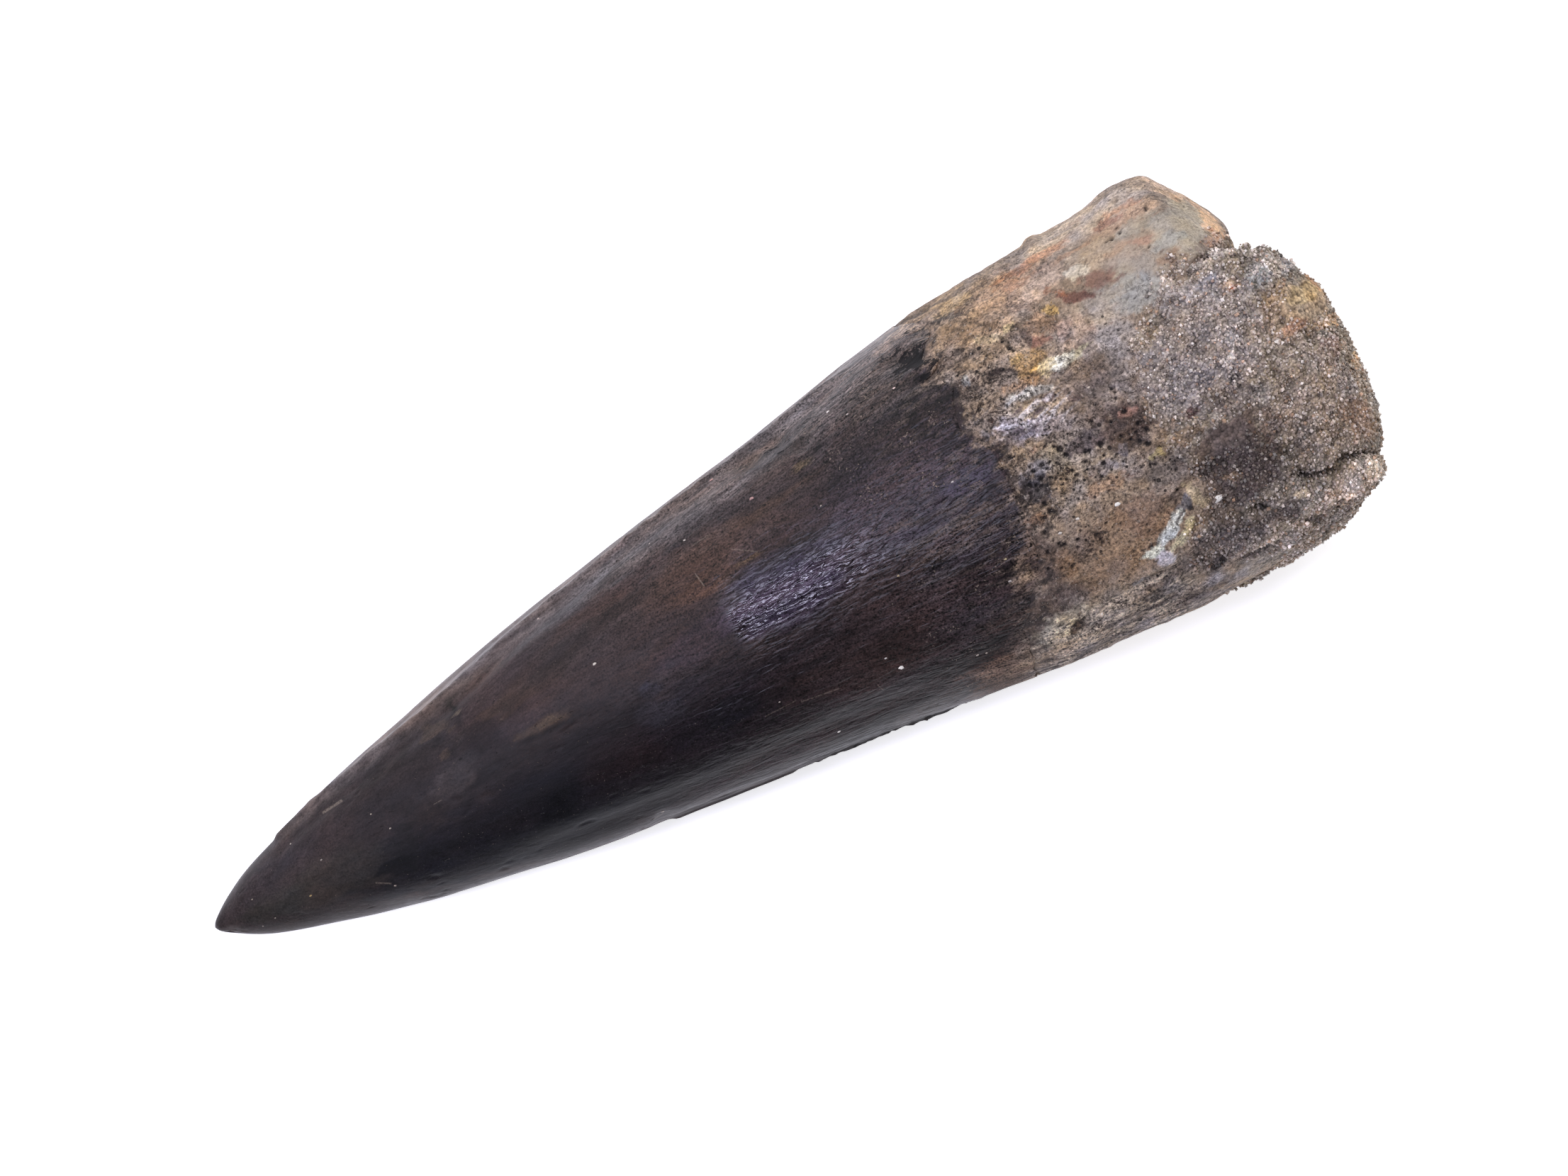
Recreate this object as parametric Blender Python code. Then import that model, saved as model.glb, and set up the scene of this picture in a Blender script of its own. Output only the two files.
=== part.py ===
"""Fossil conical tooth of a large fish-eating dinosaur, lying on its side.

The tooth is one closed solid: an enamelled crown, a root with a broken end, and the
sandstone that fills the root's hollow and clings to one flank of it.
The tip points to -X and the root to +X. The origin is the centre of the footprint, on
the surface that the tooth lies on. All dimensions below are millimetres, and the mesh
is made in metres.

Two coordinates are used for places on the tooth. "along" is the distance from the tip,
and "across" is the distance from the long axis as seen from above, positive to -Y.
"""

import math

import bmesh
import bpy
import numpy as np
from mathutils import Vector, noise

MM = 0.001

# Driving dimensions

TOOTH_LENGTH = 99.9

# Half width seen from above, as (along, half width).
WIDTH_STATIONS = [
    (0.0, 0.0),
    (0.2, 0.33),
    (0.4, 0.53),
    (1.0, 0.98),
    (2.2, 1.74),
    (4.0, 2.65),
    (8.0, 4.00),
    (14.0, 5.74),
    (22.0, 7.52),
    (30.0, 9.11),
    (42.0, 10.88),
    (54.0, 12.46),
    (66.0, 14.37),
    (74.0, 15.30),
    (82.0, 15.58),
    (90.0, 15.65),
    (110.0, 15.65),
]

# Middle of the outline seen from above, as (along, across).
SWAY_STATIONS = [
    (0.0, 0.28),
    (14.0, 0.34),
    (28.0, 0.22),
    (42.0, -0.06),
    (54.0, -0.20),
    (70.0, -0.28),
    (82.0, -0.12),
    (90.0, -0.30),
    (94.0, -0.05),
    (98.0, 0.40),
]

# Height of the underside before the contact spots are worn flat, as (along, height).
UNDERSIDE_STATIONS = [
    (0.0, 1.15),
    (2.0, 0.30),
    (5.0, -0.07),
    (12.0, 0.12),
    (25.0, 0.48),
    (45.0, 0.62),
    (62.0, 0.25),
    (74.0, -0.25),
    (82.0, -0.36),
    (90.0, -0.30),
    (110.0, -0.30),
]

# Thickness above and below the axis, as a share of the half width.
UPPER_SHARE_STATIONS = [(0.0, 0.80), (30.0, 0.80), (70.0, 0.84), (110.0, 0.82)]
LOWER_SHARE_STATIONS = [(0.0, 0.74), (40.0, 0.75), (75.0, 0.76), (110.0, 0.76)]

# Exponent of the cross section: 2 is an ellipse, more is squarer.
SQUARENESS_STATIONS = [(0.0, 2.0), (60.0, 2.0), (82.0, 2.25), (110.0, 2.25)]

# The domed filling of the root end: where it starts, and its two exponents.
DOME_START = 84.0
DOME_LENGTH = 15.75
DOME_FLATNESS = 3.4
DOME_FULLNESS = 2.6

# The broken wall of the root on the +Y side: its end slopes back towards the rim.
WALL_END = 95.6
WALL_CURVE = 0.22
WALL_POWER = 1.5
WALL_INNER_RADIUS = 9.0
WALL_RETREAT = 4.0
WALL_RETREAT_RUN = 3.0

# Sandstone crust: its thickness, and its border seen from above.
CRUST_THICKNESS = 0.42
CRUST_SIDE_BORDER = [
    (84.0, 3.4),
    (86.0, 5.9),
    (88.0, 6.7),
    (89.0, 7.8),
    (93.0, 8.6),
    (95.5, 8.0),
    (97.0, 7.3),
    (98.0, 6.3),
    (99.0, 5.0),
    (100.0, 3.4),
]
CRUST_START_ABOVE = [
    (-16.0, 88.0),
    (-6.0, 85.8),
    (-3.3, 83.9),
    (-1.0, 83.3),
    (6.0, 84.2),
    (8.5, 84.4),
    (10.5, 81.2),
    (12.5, 81.6),
    (14.0, 86.0),
    (16.0, 88.5),
]
CRUST_START_BELOW = [(-16.0, 90.0), (-8.0, 84.0), (0.0, 79.5), (8.0, 81.5), (16.0, 82.0)]
CRUST_CORNER_ROUNDING = 1.0

# Below the axis the border bends towards -Y, by this much at this depth and up to this limit.
CRUST_BEND = 9.0
CRUST_BEND_DEPTH = 10.0
CRUST_BEND_LIMIT = 2.0

# Waves that make the border ragged: height, then waves along X, Y and Z, then where they start.
RAGGED_WAVES = [(0.30, 1.9, 0.0, 0.0, 1.0), (0.24, 0.0, 2.3, 0.0, 0.0), (0.18, 1.0, 0.0, 2.9, 0.0)]
RAGGED_END = 96.0
RAGGED_FADE = 4.0

# Enamel edge, as (across, along), and the low ledge that it leaves above the root.
ENAMEL_LEDGE = 0.06
ENAMEL_LEDGE_RUN = 0.8
ENAMEL_FADE = 4.0
ENAMEL_EDGE_ABOVE = [
    (-15.5, 68.6),
    (-13.2, 71.4),
    (-11.7, 69.8),
    (-10.8, 71.2),
    (-10.0, 68.9),
    (-9.0, 70.9),
    (-5.8, 70.0),
    (-2.5, 71.4),
    (2.2, 70.8),
    (5.0, 70.0),
    (8.0, 68.6),
    (10.6, 66.9),
    (12.5, 66.4),
    (15.5, 65.6),
]
ENAMEL_EDGE_BELOW = [(-15.5, 68.6), (-9.0, 71.5), (-2.0, 69.0), (5.0, 71.8), (11.0, 67.4), (15.5, 65.6)]

# Cutting edges: where each runs round the section, its height, and its half breadth.
UPPER_CARINA_ANGLES = [(7.0, 76.0), (16.0, 65.0), (24.0, 61.0), (32.0, 67.0), (40.0, 70.0), (68.0, 75.0)]
UPPER_CARINA_START = 7.3
UPPER_CARINA_END = 66.0
UPPER_CARINA_HEIGHT = 0.30
LOWER_CARINA_ANGLES = [(0.0, -94.0), (70.0, -92.0)]
LOWER_CARINA_START = 35.5
LOWER_CARINA_END = 61.0
LOWER_CARINA_HEIGHT = 0.22
CARINA_BREADTH = 0.65
CARINA_HOLLOW = 0.12
CARINA_HOLLOW_OFFSET = 1.9
CARINA_START_RUN = 0.7
CARINA_END_RUN = 5.0

# Shallow lengthwise furrows of the crown: (angle, start, end, depth, half breadth).
FURROWS = [
    (-57.0, 20.0, 62.0, 0.22, 1.5),
    (-22.0, 38.0, 68.0, 0.07, 1.8),
    (38.0, 30.0, 66.0, 0.08, 2.0),
    (128.0, 18.0, 62.0, 0.15, 1.8),
    (-132.0, 22.0, 60.0, 0.14, 2.0),
    (180.0, 30.0, 64.0, 0.08, 2.2),
]
FURROW_START_RUN = 10.0
FURROW_END_RUN = 8.0

# Lumps and pits: (along, across, length, breadth, turn in degrees, height, +1 above or -1 below).
BUMPS = [
    # crown: worn chips near the tip, spalls by the enamel edge
    (1.1, 1.2, 0.7, 0.4, 35.0, -0.10, 1),
    (14.2, 5.9, 1.6, 0.6, 22.0, -0.10, 1),
    (35.2, 9.7, 0.9, 0.5, 0.0, -0.16, 1),
    (54.4, -11.3, 1.7, 0.5, 8.0, -0.28, 1),
    (57.1, -11.7, 1.1, 0.5, 12.0, -0.30, 1),
    (58.5, -10.4, 0.6, 0.5, 0.0, -0.25, 1),
    (68.9, -12.3, 1.8, 0.7, 10.0, -0.32, 1),
    (69.9, -10.4, 2.0, 0.5, 6.0, -0.32, 1),
    (71.2, -13.6, 0.9, 0.7, 0.0, -0.30, 1),
    # root: domed knob with the hollow under it, swells and dents
    (77.4, -10.2, 1.7, 1.4, 20.0, 0.50, 1),
    (77.2, -8.8, 1.3, 0.5, 25.0, -0.30, 1),
    (74.0, -3.5, 3.0, 1.6, 12.0, 0.22, 1),
    (79.5, -6.2, 2.2, 0.7, 8.0, 0.16, 1),
    (84.0, -11.0, 4.5, 2.2, 8.0, 0.25, 1),
    (80.5, -3.2, 1.8, 1.6, 0.0, -0.24, 1),
    (80.8, 1.2, 1.8, 1.4, 0.0, -0.34, 1),
    (77.0, 0.2, 2.0, 2.0, 0.0, -0.16, 1),
    (73.0, 6.0, 4.0, 2.5, 0.0, 0.20, 1),
    (80.9, 8.8, 3.6, 1.0, -27.0, 0.34, 1),
    (81.4, 7.5, 2.4, 0.5, -27.0, -0.34, 1),
    (79.0, 10.6, 1.0, 0.9, 0.0, 0.22, 1),
    (72.0, 12.6, 6.5, 1.2, 2.0, 0.24, 1),
    (70.0, 11.7, 1.6, 0.45, 0.0, -0.28, 1),
    # silhouette: pebble and gritty knob on the +Y flank
    (81.9, -15.9, 0.8, 0.9, 0.0, 0.48, 1),
    (89.6, -15.6, 2.2, 1.6, 0.0, 0.34, 1),
    # crust: smooth dark hollow, holes and the loose flake below the crack
    (88.0, 5.0, 3.0, 1.2, -5.0, -0.30, 1),
    (87.2, 10.9, 1.3, 0.5, 8.0, -0.60, 1),
    (84.3, 7.0, 0.8, 1.2, 0.0, -0.30, 1),
    (90.5, 11.7, 1.8, 0.7, 5.0, 0.35, 1),
    (95.4, 12.6, 2.4, 1.2, -12.0, 0.80, 1),
    (95.3, -8.3, 0.9, 0.7, -30.0, -0.70, 1),
    (92.2, -6.0, 2.5, 1.8, 0.0, 0.25, 1),
    (97.0, -1.5, 2.2, 2.4, 0.0, 0.20, 1),
    (93.5, 4.5, 2.0, 2.6, 0.0, 0.25, 1),
    # underside: spalls of the crown, dents and swells of the root and the crust
    (33.0, 2.0, 3.2, 1.5, 12.0, -0.22, -1),
    (52.0, -6.0, 4.0, 1.6, -10.0, -0.25, -1),
    (66.0, 7.0, 3.0, 1.8, 20.0, -0.28, -1),
    (75.5, -8.0, 3.5, 2.5, 0.0, 0.30, -1),
    (78.0, 8.5, 3.0, 2.2, 0.0, -0.30, -1),
    (86.0, 9.5, 3.0, 2.4, 0.0, 0.35, -1),
    (92.0, -3.0, 3.0, 3.0, 0.0, -0.30, -1),
]

# How steep the flank of each lump and pit is.
BUMP_FULLNESS = 1.5

# Cracks, as (depth, half breadth, side, points along and across).
CRACKS = [
    (0.75, 0.34, 1, [(91.2, 10.4), (92.4, 10.9), (93.8, 11.2), (94.6, 10.9), (95.8, 11.1), (97.4, 11.7)]),
    (0.22, 0.40, 1, [(74.0, 11.6), (77.0, 11.5), (80.0, 11.9), (83.0, 12.9)]),
    (0.30, 0.35, -1, [(58.0, -3.0), (66.0, -2.0), (72.0, -4.2), (80.0, -3.5)]),
]

# Uneven surface: size of the swells and their height, on the crown and on the root.
SWELL_SIZE = 7.0
CROWN_SWELL = 0.05
ROOT_SWELL = 0.34
GRIT_SIZE = 2.2
CRUST_GRIT = 0.28
TIP_SWELL_RUN = 6.0
ROOT_SWELL_RUN = 2.0
CRUST_GRIT_RUN = 1.0

# How quickly the upper side's borders and its lumps give way to the under side's.
BORDER_CHANGE = 1.6
BUMP_CHANGE = 4.0

# Facets of the solid
FACES_ROUND = 62
CROWN_RINGS = 35
ROOT_RINGS = 22
TIP_RINGS = 3
END_RINGS = 17
TIP_CENTRE = 1.2
TIP_RING_OFFSET = 0.55
CROWN_RING_SPACING = 1.12
ROOT_RING_START = 67.0
CAST_STEPS = 34
CAST_REACH = 1.6
LEAST = 0.001
FAR_AWAY = 1000.0
SHARP_ANGLE = 40.0

# Rounding where two surfaces meet
RIM_ROUNDING = 0.9
CRUST_ROUNDING = 1.4
CRUST_TOE = 0.6
CRUST_TOE_END = 92.0
CRUST_TOE_RUN = 3.0
END_ROUNDING = 0.2
JOIN_ROUNDING = 0.3

COLOUR = (0.115, 0.080, 0.060, 1.0)
ROUGHNESS = 0.48


def curve(stations, place):
    """Smooth line through (place, value) stations that doesn't overshoot between them."""
    knots = np.array([station[0] for station in stations])
    values = np.array([station[1] for station in stations])
    gaps = np.diff(knots)
    slopes = np.diff(values) / gaps
    tangents = np.empty_like(values)
    tangents[0] = slopes[0]
    tangents[-1] = slopes[-1]
    before = slopes[:-1]
    after = slopes[1:]
    agree = before * after > 0
    weight_before = 2 * gaps[1:] + gaps[:-1]
    weight_after = gaps[1:] + 2 * gaps[:-1]
    safe_before = np.where(agree, before, 1.0)
    safe_after = np.where(agree, after, 1.0)
    blended = (weight_before + weight_after) / (weight_before / safe_before + weight_after / safe_after)
    tangents[1:-1] = np.where(agree, blended, 0.0)
    place = np.clip(place, knots[0], knots[-1])
    span = np.clip(np.searchsorted(knots, place) - 1, 0, len(gaps) - 1)
    gap = gaps[span]
    t = (place - knots[span]) / gap
    start = (1 + 2 * t) * (1 - t) ** 2 * values[span]
    leave = t * (1 - t) ** 2 * gap * tangents[span]
    finish = t * t * (3 - 2 * t) * values[span + 1]
    arrive = t * t * (t - 1) * gap * tangents[span + 1]
    return start + leave + finish + arrive


def ramp(value):
    """Smooth step from 0 to 1 as value goes from 0 to 1."""
    value = np.clip(value, 0.0, 1.0)
    return value * value * (3 - 2 * value)


def blend_low(first, second, rounding):
    """The lower of two depths, rounded where they cross: joins two solids."""
    share = np.clip(0.5 + 0.5 * (second - first) / rounding, 0.0, 1.0)
    return second + (first - second) * share - rounding * share * (1 - share)


def blend_high(first, second, rounding):
    """The higher of two depths, rounded where they cross: keeps what two solids share."""
    return -blend_low(-first, -second, rounding)


class Section:
    """Cross section of the tooth at each of many places along it."""

    def __init__(self, along):
        self.half_width = np.maximum(curve(WIDTH_STATIONS, along), LEAST)
        self.middle = -curve(SWAY_STATIONS, along)
        self.upper = self.half_width * curve(UPPER_SHARE_STATIONS, along)
        self.lower = self.half_width * curve(LOWER_SHARE_STATIONS, along)
        self.height = curve(UNDERSIDE_STATIONS, along) + self.lower
        self.squareness = curve(SQUARENESS_STATIONS, along)
        climb = np.clip((along - DOME_START) / DOME_LENGTH, 0.0, 1.0)
        self.dome = (1 - climb**DOME_FLATNESS) ** (1 / DOME_FULLNESS)

    def spread(self, y, z):
        """Place in the section: 0 on the axis, 1 on the outline."""
        thickness = np.where(z > self.height, self.upper, self.lower)
        across = np.abs(y - self.middle) / self.half_width
        upward = np.abs(z - self.height) / thickness
        return (across**self.squareness + upward**self.squareness) ** (1 / self.squareness)

    def rise(self, z):
        """-1 at the underside, 0 level with the axis, 1 at the top."""
        thickness = np.where(z > self.height, self.upper, self.lower)
        return np.clip((z - self.height) / thickness, -1.0, 1.0)

    def angle(self, y, z):
        """Direction from the axis in degrees: 0 is straight up, 90 is towards +Y."""
        thickness = np.where(z > self.height, self.upper, self.lower)
        return np.degrees(np.arctan2((y - self.middle) / self.half_width, (z - self.height) / thickness))


def crust_border(along, y, z, section):
    """Distance outside the crust's border, seen from above; negative inside it."""
    above = ramp(0.5 + section.rise(z) * BORDER_CHANGE)
    below = np.clip((section.height - z) / CRUST_BEND_DEPTH, 0.0, CRUST_BEND_LIMIT)
    side = curve(CRUST_SIDE_BORDER, along) - CRUST_BEND * below**2
    start_above = curve(CRUST_START_ABOVE, -y)
    start_below = curve(CRUST_START_BELOW, -y)
    start = start_below + (start_above - start_below) * above
    border = blend_high(y - side, start - along, CRUST_CORNER_ROUNDING)
    for height, wave_x, wave_y, wave_z, phase in RAGGED_WAVES:
        wave = np.sin(along * wave_x + y * wave_y + z * wave_z + phase)
        border = border + height * wave * ramp((RAGGED_END - along) / RAGGED_FADE)
    return border


def enamel_edge(along, y, z, section):
    """Distance beyond the enamel's edge, towards the root."""
    above = ramp(0.5 + section.rise(z) * BORDER_CHANGE)
    edge_above = curve(ENAMEL_EDGE_ABOVE, -y)
    edge_below = curve(ENAMEL_EDGE_BELOW, -y)
    return along - (edge_below + (edge_above - edge_below) * above)


def depth(along, y, z):
    """How far a point is outside the tooth's main forms; negative inside."""
    section = Section(along)
    spread = section.spread(y, z)
    beyond = enamel_edge(along, y, z, section)
    ledge = ENAMEL_LEDGE * ramp(beyond / ENAMEL_LEDGE_RUN + 0.5)
    ledge = ledge * np.exp(-np.maximum(beyond, 0.0) / ENAMEL_FADE)
    side = (spread - 1.0) * section.half_width + ledge
    border = crust_border(along, y, z, section)
    retreat = WALL_RETREAT * ramp(-border / WALL_RETREAT_RUN)
    rim = np.maximum(spread * section.half_width - WALL_INNER_RADIUS, 0.0)
    wall_end = WALL_END - retreat - WALL_CURVE * rim**WALL_POWER
    body = blend_high(side, along - wall_end, RIM_ROUNDING)
    domed = np.maximum(section.dome, LEAST)
    filling = (spread / domed - 1.0) * section.half_width * domed - CRUST_THICKNESS
    toe = CRUST_TOE + (CRUST_ROUNDING - CRUST_TOE) * ramp((along - CRUST_TOE_END) / CRUST_TOE_RUN)
    crust = blend_high(filling, border, toe)
    crust = blend_high(crust, along - TOOTH_LENGTH, END_ROUNDING)
    solid = blend_low(body, crust, JOIN_ROUNDING)
    return np.maximum(solid, -along)


def cast(origin, direction):
    """Surface points met along rays that start inside the tooth."""
    near = np.zeros(direction.shape[:-1])
    far = np.full(direction.shape[:-1], CAST_REACH)
    for _ in range(CAST_STEPS):
        middle = (near + far) / 2
        point = origin + direction * middle[..., None]
        outside = depth(point[..., 0], point[..., 1], point[..., 2]) > 0
        far = np.where(outside, middle, far)
        near = np.where(outside, near, middle)
    return (near + far) / 2


def carina(along, angle, half_width, angles, start, end, height):
    """Raised cutting edge that runs the length of the crown, with a hollow along each side."""
    away = (angle - curve(angles, along) + 180.0) % 360.0 - 180.0
    away = np.radians(away) * half_width
    ridge = height * np.exp(-((away / CARINA_BREADTH) ** 2))
    hollow = CARINA_HOLLOW * np.exp(-(((np.abs(away) - CARINA_HOLLOW_OFFSET) / CARINA_BREADTH) ** 2))
    reach = ramp((along - start) / CARINA_START_RUN) * ramp((end - along) / CARINA_END_RUN)
    return (ridge - hollow) * reach


def furrows(along, angle, half_width):
    """Shallow lengthwise furrows of the crown."""
    total = np.zeros_like(along)
    for centre, start, end, deep, breadth in FURROWS:
        away = np.radians((angle - centre + 180.0) % 360.0 - 180.0) * half_width
        reach = ramp((along - start) / FURROW_START_RUN) * ramp((end - along) / FURROW_END_RUN)
        total -= deep * reach * np.exp(-((away / breadth) ** 2))
    return total


def bumps(along, across, above):
    """Lumps and pits, each on the upper or the under side."""
    total = np.zeros_like(along)
    for centre, middle, length, breadth, turn, height, side in BUMPS:
        cosine = math.cos(math.radians(turn))
        sine = math.sin(math.radians(turn))
        run = (along - centre) * cosine + (across - middle) * sine
        off = (across - middle) * cosine - (along - centre) * sine
        reach = above if side > 0 else 1.0 - above
        gap = (run / length) ** 2 + (off / breadth) ** 2
        total += height * reach * np.exp(-(gap**BUMP_FULLNESS))
    return total


def line_distance(along, across, points):
    """Distance in the plan view from a line through the points."""
    nearest = np.full(along.shape, FAR_AWAY)
    for (x0, y0), (x1, y1) in zip(points, points[1:]):
        run = ((along - x0) * (x1 - x0) + (across - y0) * (y1 - y0)) / ((x1 - x0) ** 2 + (y1 - y0) ** 2)
        run = np.clip(run, 0.0, 1.0)
        gap = np.hypot(along - x0 - run * (x1 - x0), across - y0 - run * (y1 - y0))
        nearest = np.minimum(nearest, gap)
    return nearest


def cracks(along, across, above):
    """Cracks that follow a jagged line."""
    total = np.zeros_like(along)
    for deep, breadth, side, points in CRACKS:
        reach = above if side > 0 else 1.0 - above
        total -= deep * reach * np.exp(-((line_distance(along, across, points) / breadth) ** 2))
    return total


def uneven(points, size):
    """Smooth noise between -1 and 1 at each point, with hills of the given size."""
    flat = points.reshape(-1, 3)
    values = [noise.noise(Vector((p[0], p[1], p[2])) / size) for p in flat]
    return np.array(values).reshape(points.shape[:-1])


def relief(points):
    """Height of the surface detail above the main forms."""
    along = points[..., 0]
    y = points[..., 1]
    z = points[..., 2]
    section = Section(along)
    angle = section.angle(y, z)
    above = ramp(0.5 + section.rise(z) * BUMP_CHANGE)
    root = ramp(enamel_edge(along, y, z, section) / ROOT_SWELL_RUN)
    crust = ramp(-crust_border(along, y, z, section) / CRUST_GRIT_RUN) * root
    height = carina(
        along, angle, section.half_width, UPPER_CARINA_ANGLES,
        UPPER_CARINA_START, UPPER_CARINA_END, UPPER_CARINA_HEIGHT,
    )
    height += carina(
        along, angle, section.half_width, LOWER_CARINA_ANGLES,
        LOWER_CARINA_START, LOWER_CARINA_END, LOWER_CARINA_HEIGHT,
    )
    height += furrows(along, angle, section.half_width)
    height += bumps(along, -y, above)
    height += cracks(along, -y, above)
    swell = CROWN_SWELL + (ROOT_SWELL - CROWN_SWELL) * root
    height += swell * uneven(points, SWELL_SIZE) * ramp(along / TIP_SWELL_RUN)
    height += CRUST_GRIT * crust * uneven(points, GRIT_SIZE)
    return height


def rays():
    """Rays from the axis: a fan at the tip, rings along the tooth, and a fan at the root end."""
    turns = np.arange(FACES_ROUND) * 2 * math.pi / FACES_ROUND
    tip_steps = TIP_RINGS + TIP_RING_OFFSET
    tilts = [-90.0 + 90.0 * (k + TIP_RING_OFFSET) / tip_steps for k in range(TIP_RINGS)]
    rows = [(TIP_CENTRE, tilt) for tilt in tilts]
    share = np.linspace(0, 1, CROWN_RINGS) ** CROWN_RING_SPACING
    crown = TIP_CENTRE + (ROOT_RING_START - TIP_CENTRE) * share
    rows += [(place, 0.0) for place in crown]
    root = np.linspace(ROOT_RING_START, DOME_START, ROOT_RINGS + 1)[1:]
    rows += [(place, 0.0) for place in root]
    rows += [(DOME_START, 90.0 * (k + 1) / (END_RINGS + 1)) for k in range(END_RINGS)]
    place = np.array([row[0] for row in rows])
    tilt = np.radians([row[1] for row in rows])
    section = Section(place)
    origin = np.stack([place, section.middle, section.height], axis=-1)[:, None, :]
    origin = np.repeat(origin, FACES_ROUND, axis=1)
    end_reach = np.where(tilt < 0, TIP_CENTRE, DOME_LENGTH)
    cosine = np.cos(turns)[None, :]
    thickness = np.where(cosine > 0, section.upper[:, None], section.lower[:, None])
    forward = np.repeat((np.sin(tilt) * end_reach)[:, None], FACES_ROUND, axis=1)
    sideways = np.cos(tilt)[:, None] * section.half_width[:, None] * np.sin(turns)[None, :]
    upward = np.cos(tilt)[:, None] * thickness * cosine
    return origin, np.stack([forward, sideways, upward], axis=-1)


def surface(origin, direction):
    """Points of the finished surface, with the contact spots worn flat at ground level."""
    reach = cast(origin, direction)
    points = origin + direction * reach[..., None]
    length = np.linalg.norm(direction, axis=-1)
    points = origin + direction * (reach + relief(points) / length)[..., None]
    points[..., 2] = np.maximum(points[..., 2], 0.0)
    return points


def clear_scene():
    """Remove every object that the file holds."""
    for item in list(bpy.data.objects):
        bpy.data.objects.remove(item, do_unlink=True)


def fossil_material():
    """Brown fossil enamel and bone, seen as one colour."""
    material = bpy.data.materials.new("fossil")
    material.use_nodes = True
    shader = material.node_tree.nodes["Principled BSDF"]
    shader.inputs["Base Color"].default_value = COLOUR
    shader.inputs["Roughness"].default_value = ROUGHNESS
    shader.inputs["Metallic"].default_value = 0.0
    return material


def make_tooth():
    """The tooth: rings of points joined by faces, closed by one point at each end."""
    origin, direction = rays()
    rings = surface(origin, direction)
    tip_origin = origin[0, :1]
    tip = surface(tip_origin, np.array([[-TIP_CENTRE, 0.0, 0.0]]))[0]
    end_origin = origin[-1, :1]
    end = surface(end_origin, np.array([[DOME_LENGTH, 0.0, 0.0]]))[0]
    everything = np.vstack([rings.reshape(-1, 3), tip, end])
    low = everything.min(axis=0)
    high = everything.max(axis=0)
    footprint = np.array([(low[0] + high[0]) / 2, (low[1] + high[1]) / 2, 0.0])

    form = bmesh.new()
    grid = [[form.verts.new((p - footprint) * MM) for p in ring] for ring in rings]
    tip_point = form.verts.new((tip - footprint) * MM)
    end_point = form.verts.new((end - footprint) * MM)
    for ring, following in zip(grid, grid[1:]):
        for k in range(FACES_ROUND):
            after = (k + 1) % FACES_ROUND
            form.faces.new((ring[k], ring[after], following[after], following[k]))
    for k in range(FACES_ROUND):
        after = (k + 1) % FACES_ROUND
        form.faces.new((tip_point, grid[0][after], grid[0][k]))
        form.faces.new((end_point, grid[-1][k], grid[-1][after]))
    bmesh.ops.triangulate(form, faces=form.faces[:])
    bmesh.ops.recalc_face_normals(form, faces=form.faces[:])
    mesh = bpy.data.meshes.new("tooth")
    form.to_mesh(mesh)
    form.free()
    mesh.shade_smooth()
    mesh.set_sharp_from_angle(angle=math.radians(SHARP_ANGLE))
    mesh.materials.append(fossil_material())
    tooth = bpy.data.objects.new("tooth", mesh)
    bpy.context.scene.collection.objects.link(tooth)
    return tooth


clear_scene()
make_tooth()
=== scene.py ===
import math

import bmesh
import bpy
import numpy as np
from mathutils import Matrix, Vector, noise


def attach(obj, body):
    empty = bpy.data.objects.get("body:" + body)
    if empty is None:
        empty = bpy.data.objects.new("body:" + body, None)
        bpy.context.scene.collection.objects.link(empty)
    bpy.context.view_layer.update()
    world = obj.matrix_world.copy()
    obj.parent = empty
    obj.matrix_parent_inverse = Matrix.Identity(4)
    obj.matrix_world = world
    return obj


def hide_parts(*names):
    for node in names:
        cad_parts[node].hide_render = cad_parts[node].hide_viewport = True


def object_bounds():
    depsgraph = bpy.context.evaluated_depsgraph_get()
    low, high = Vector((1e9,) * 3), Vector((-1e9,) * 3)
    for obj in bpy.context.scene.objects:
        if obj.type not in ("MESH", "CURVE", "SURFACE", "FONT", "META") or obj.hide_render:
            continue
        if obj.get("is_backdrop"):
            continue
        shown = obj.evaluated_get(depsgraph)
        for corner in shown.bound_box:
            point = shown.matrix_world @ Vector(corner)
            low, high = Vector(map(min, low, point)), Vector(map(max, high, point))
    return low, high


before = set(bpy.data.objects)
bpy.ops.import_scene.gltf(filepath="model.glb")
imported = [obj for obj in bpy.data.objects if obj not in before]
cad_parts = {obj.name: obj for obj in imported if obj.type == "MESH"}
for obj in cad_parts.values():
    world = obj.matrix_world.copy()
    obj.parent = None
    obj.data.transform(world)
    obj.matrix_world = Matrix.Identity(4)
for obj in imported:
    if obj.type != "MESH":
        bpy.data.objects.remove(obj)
cadLow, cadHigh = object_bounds()
print("frame loaded")

# Places on the tooth are in millimetres: "along" from the tip, "across" from the long axis as
# seen from above, positive to -Y. The solid's own numbers are repeated here, so the fine
# surface lies where the solid is. The last number of each noise is its seed.
mm = 0.001

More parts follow.
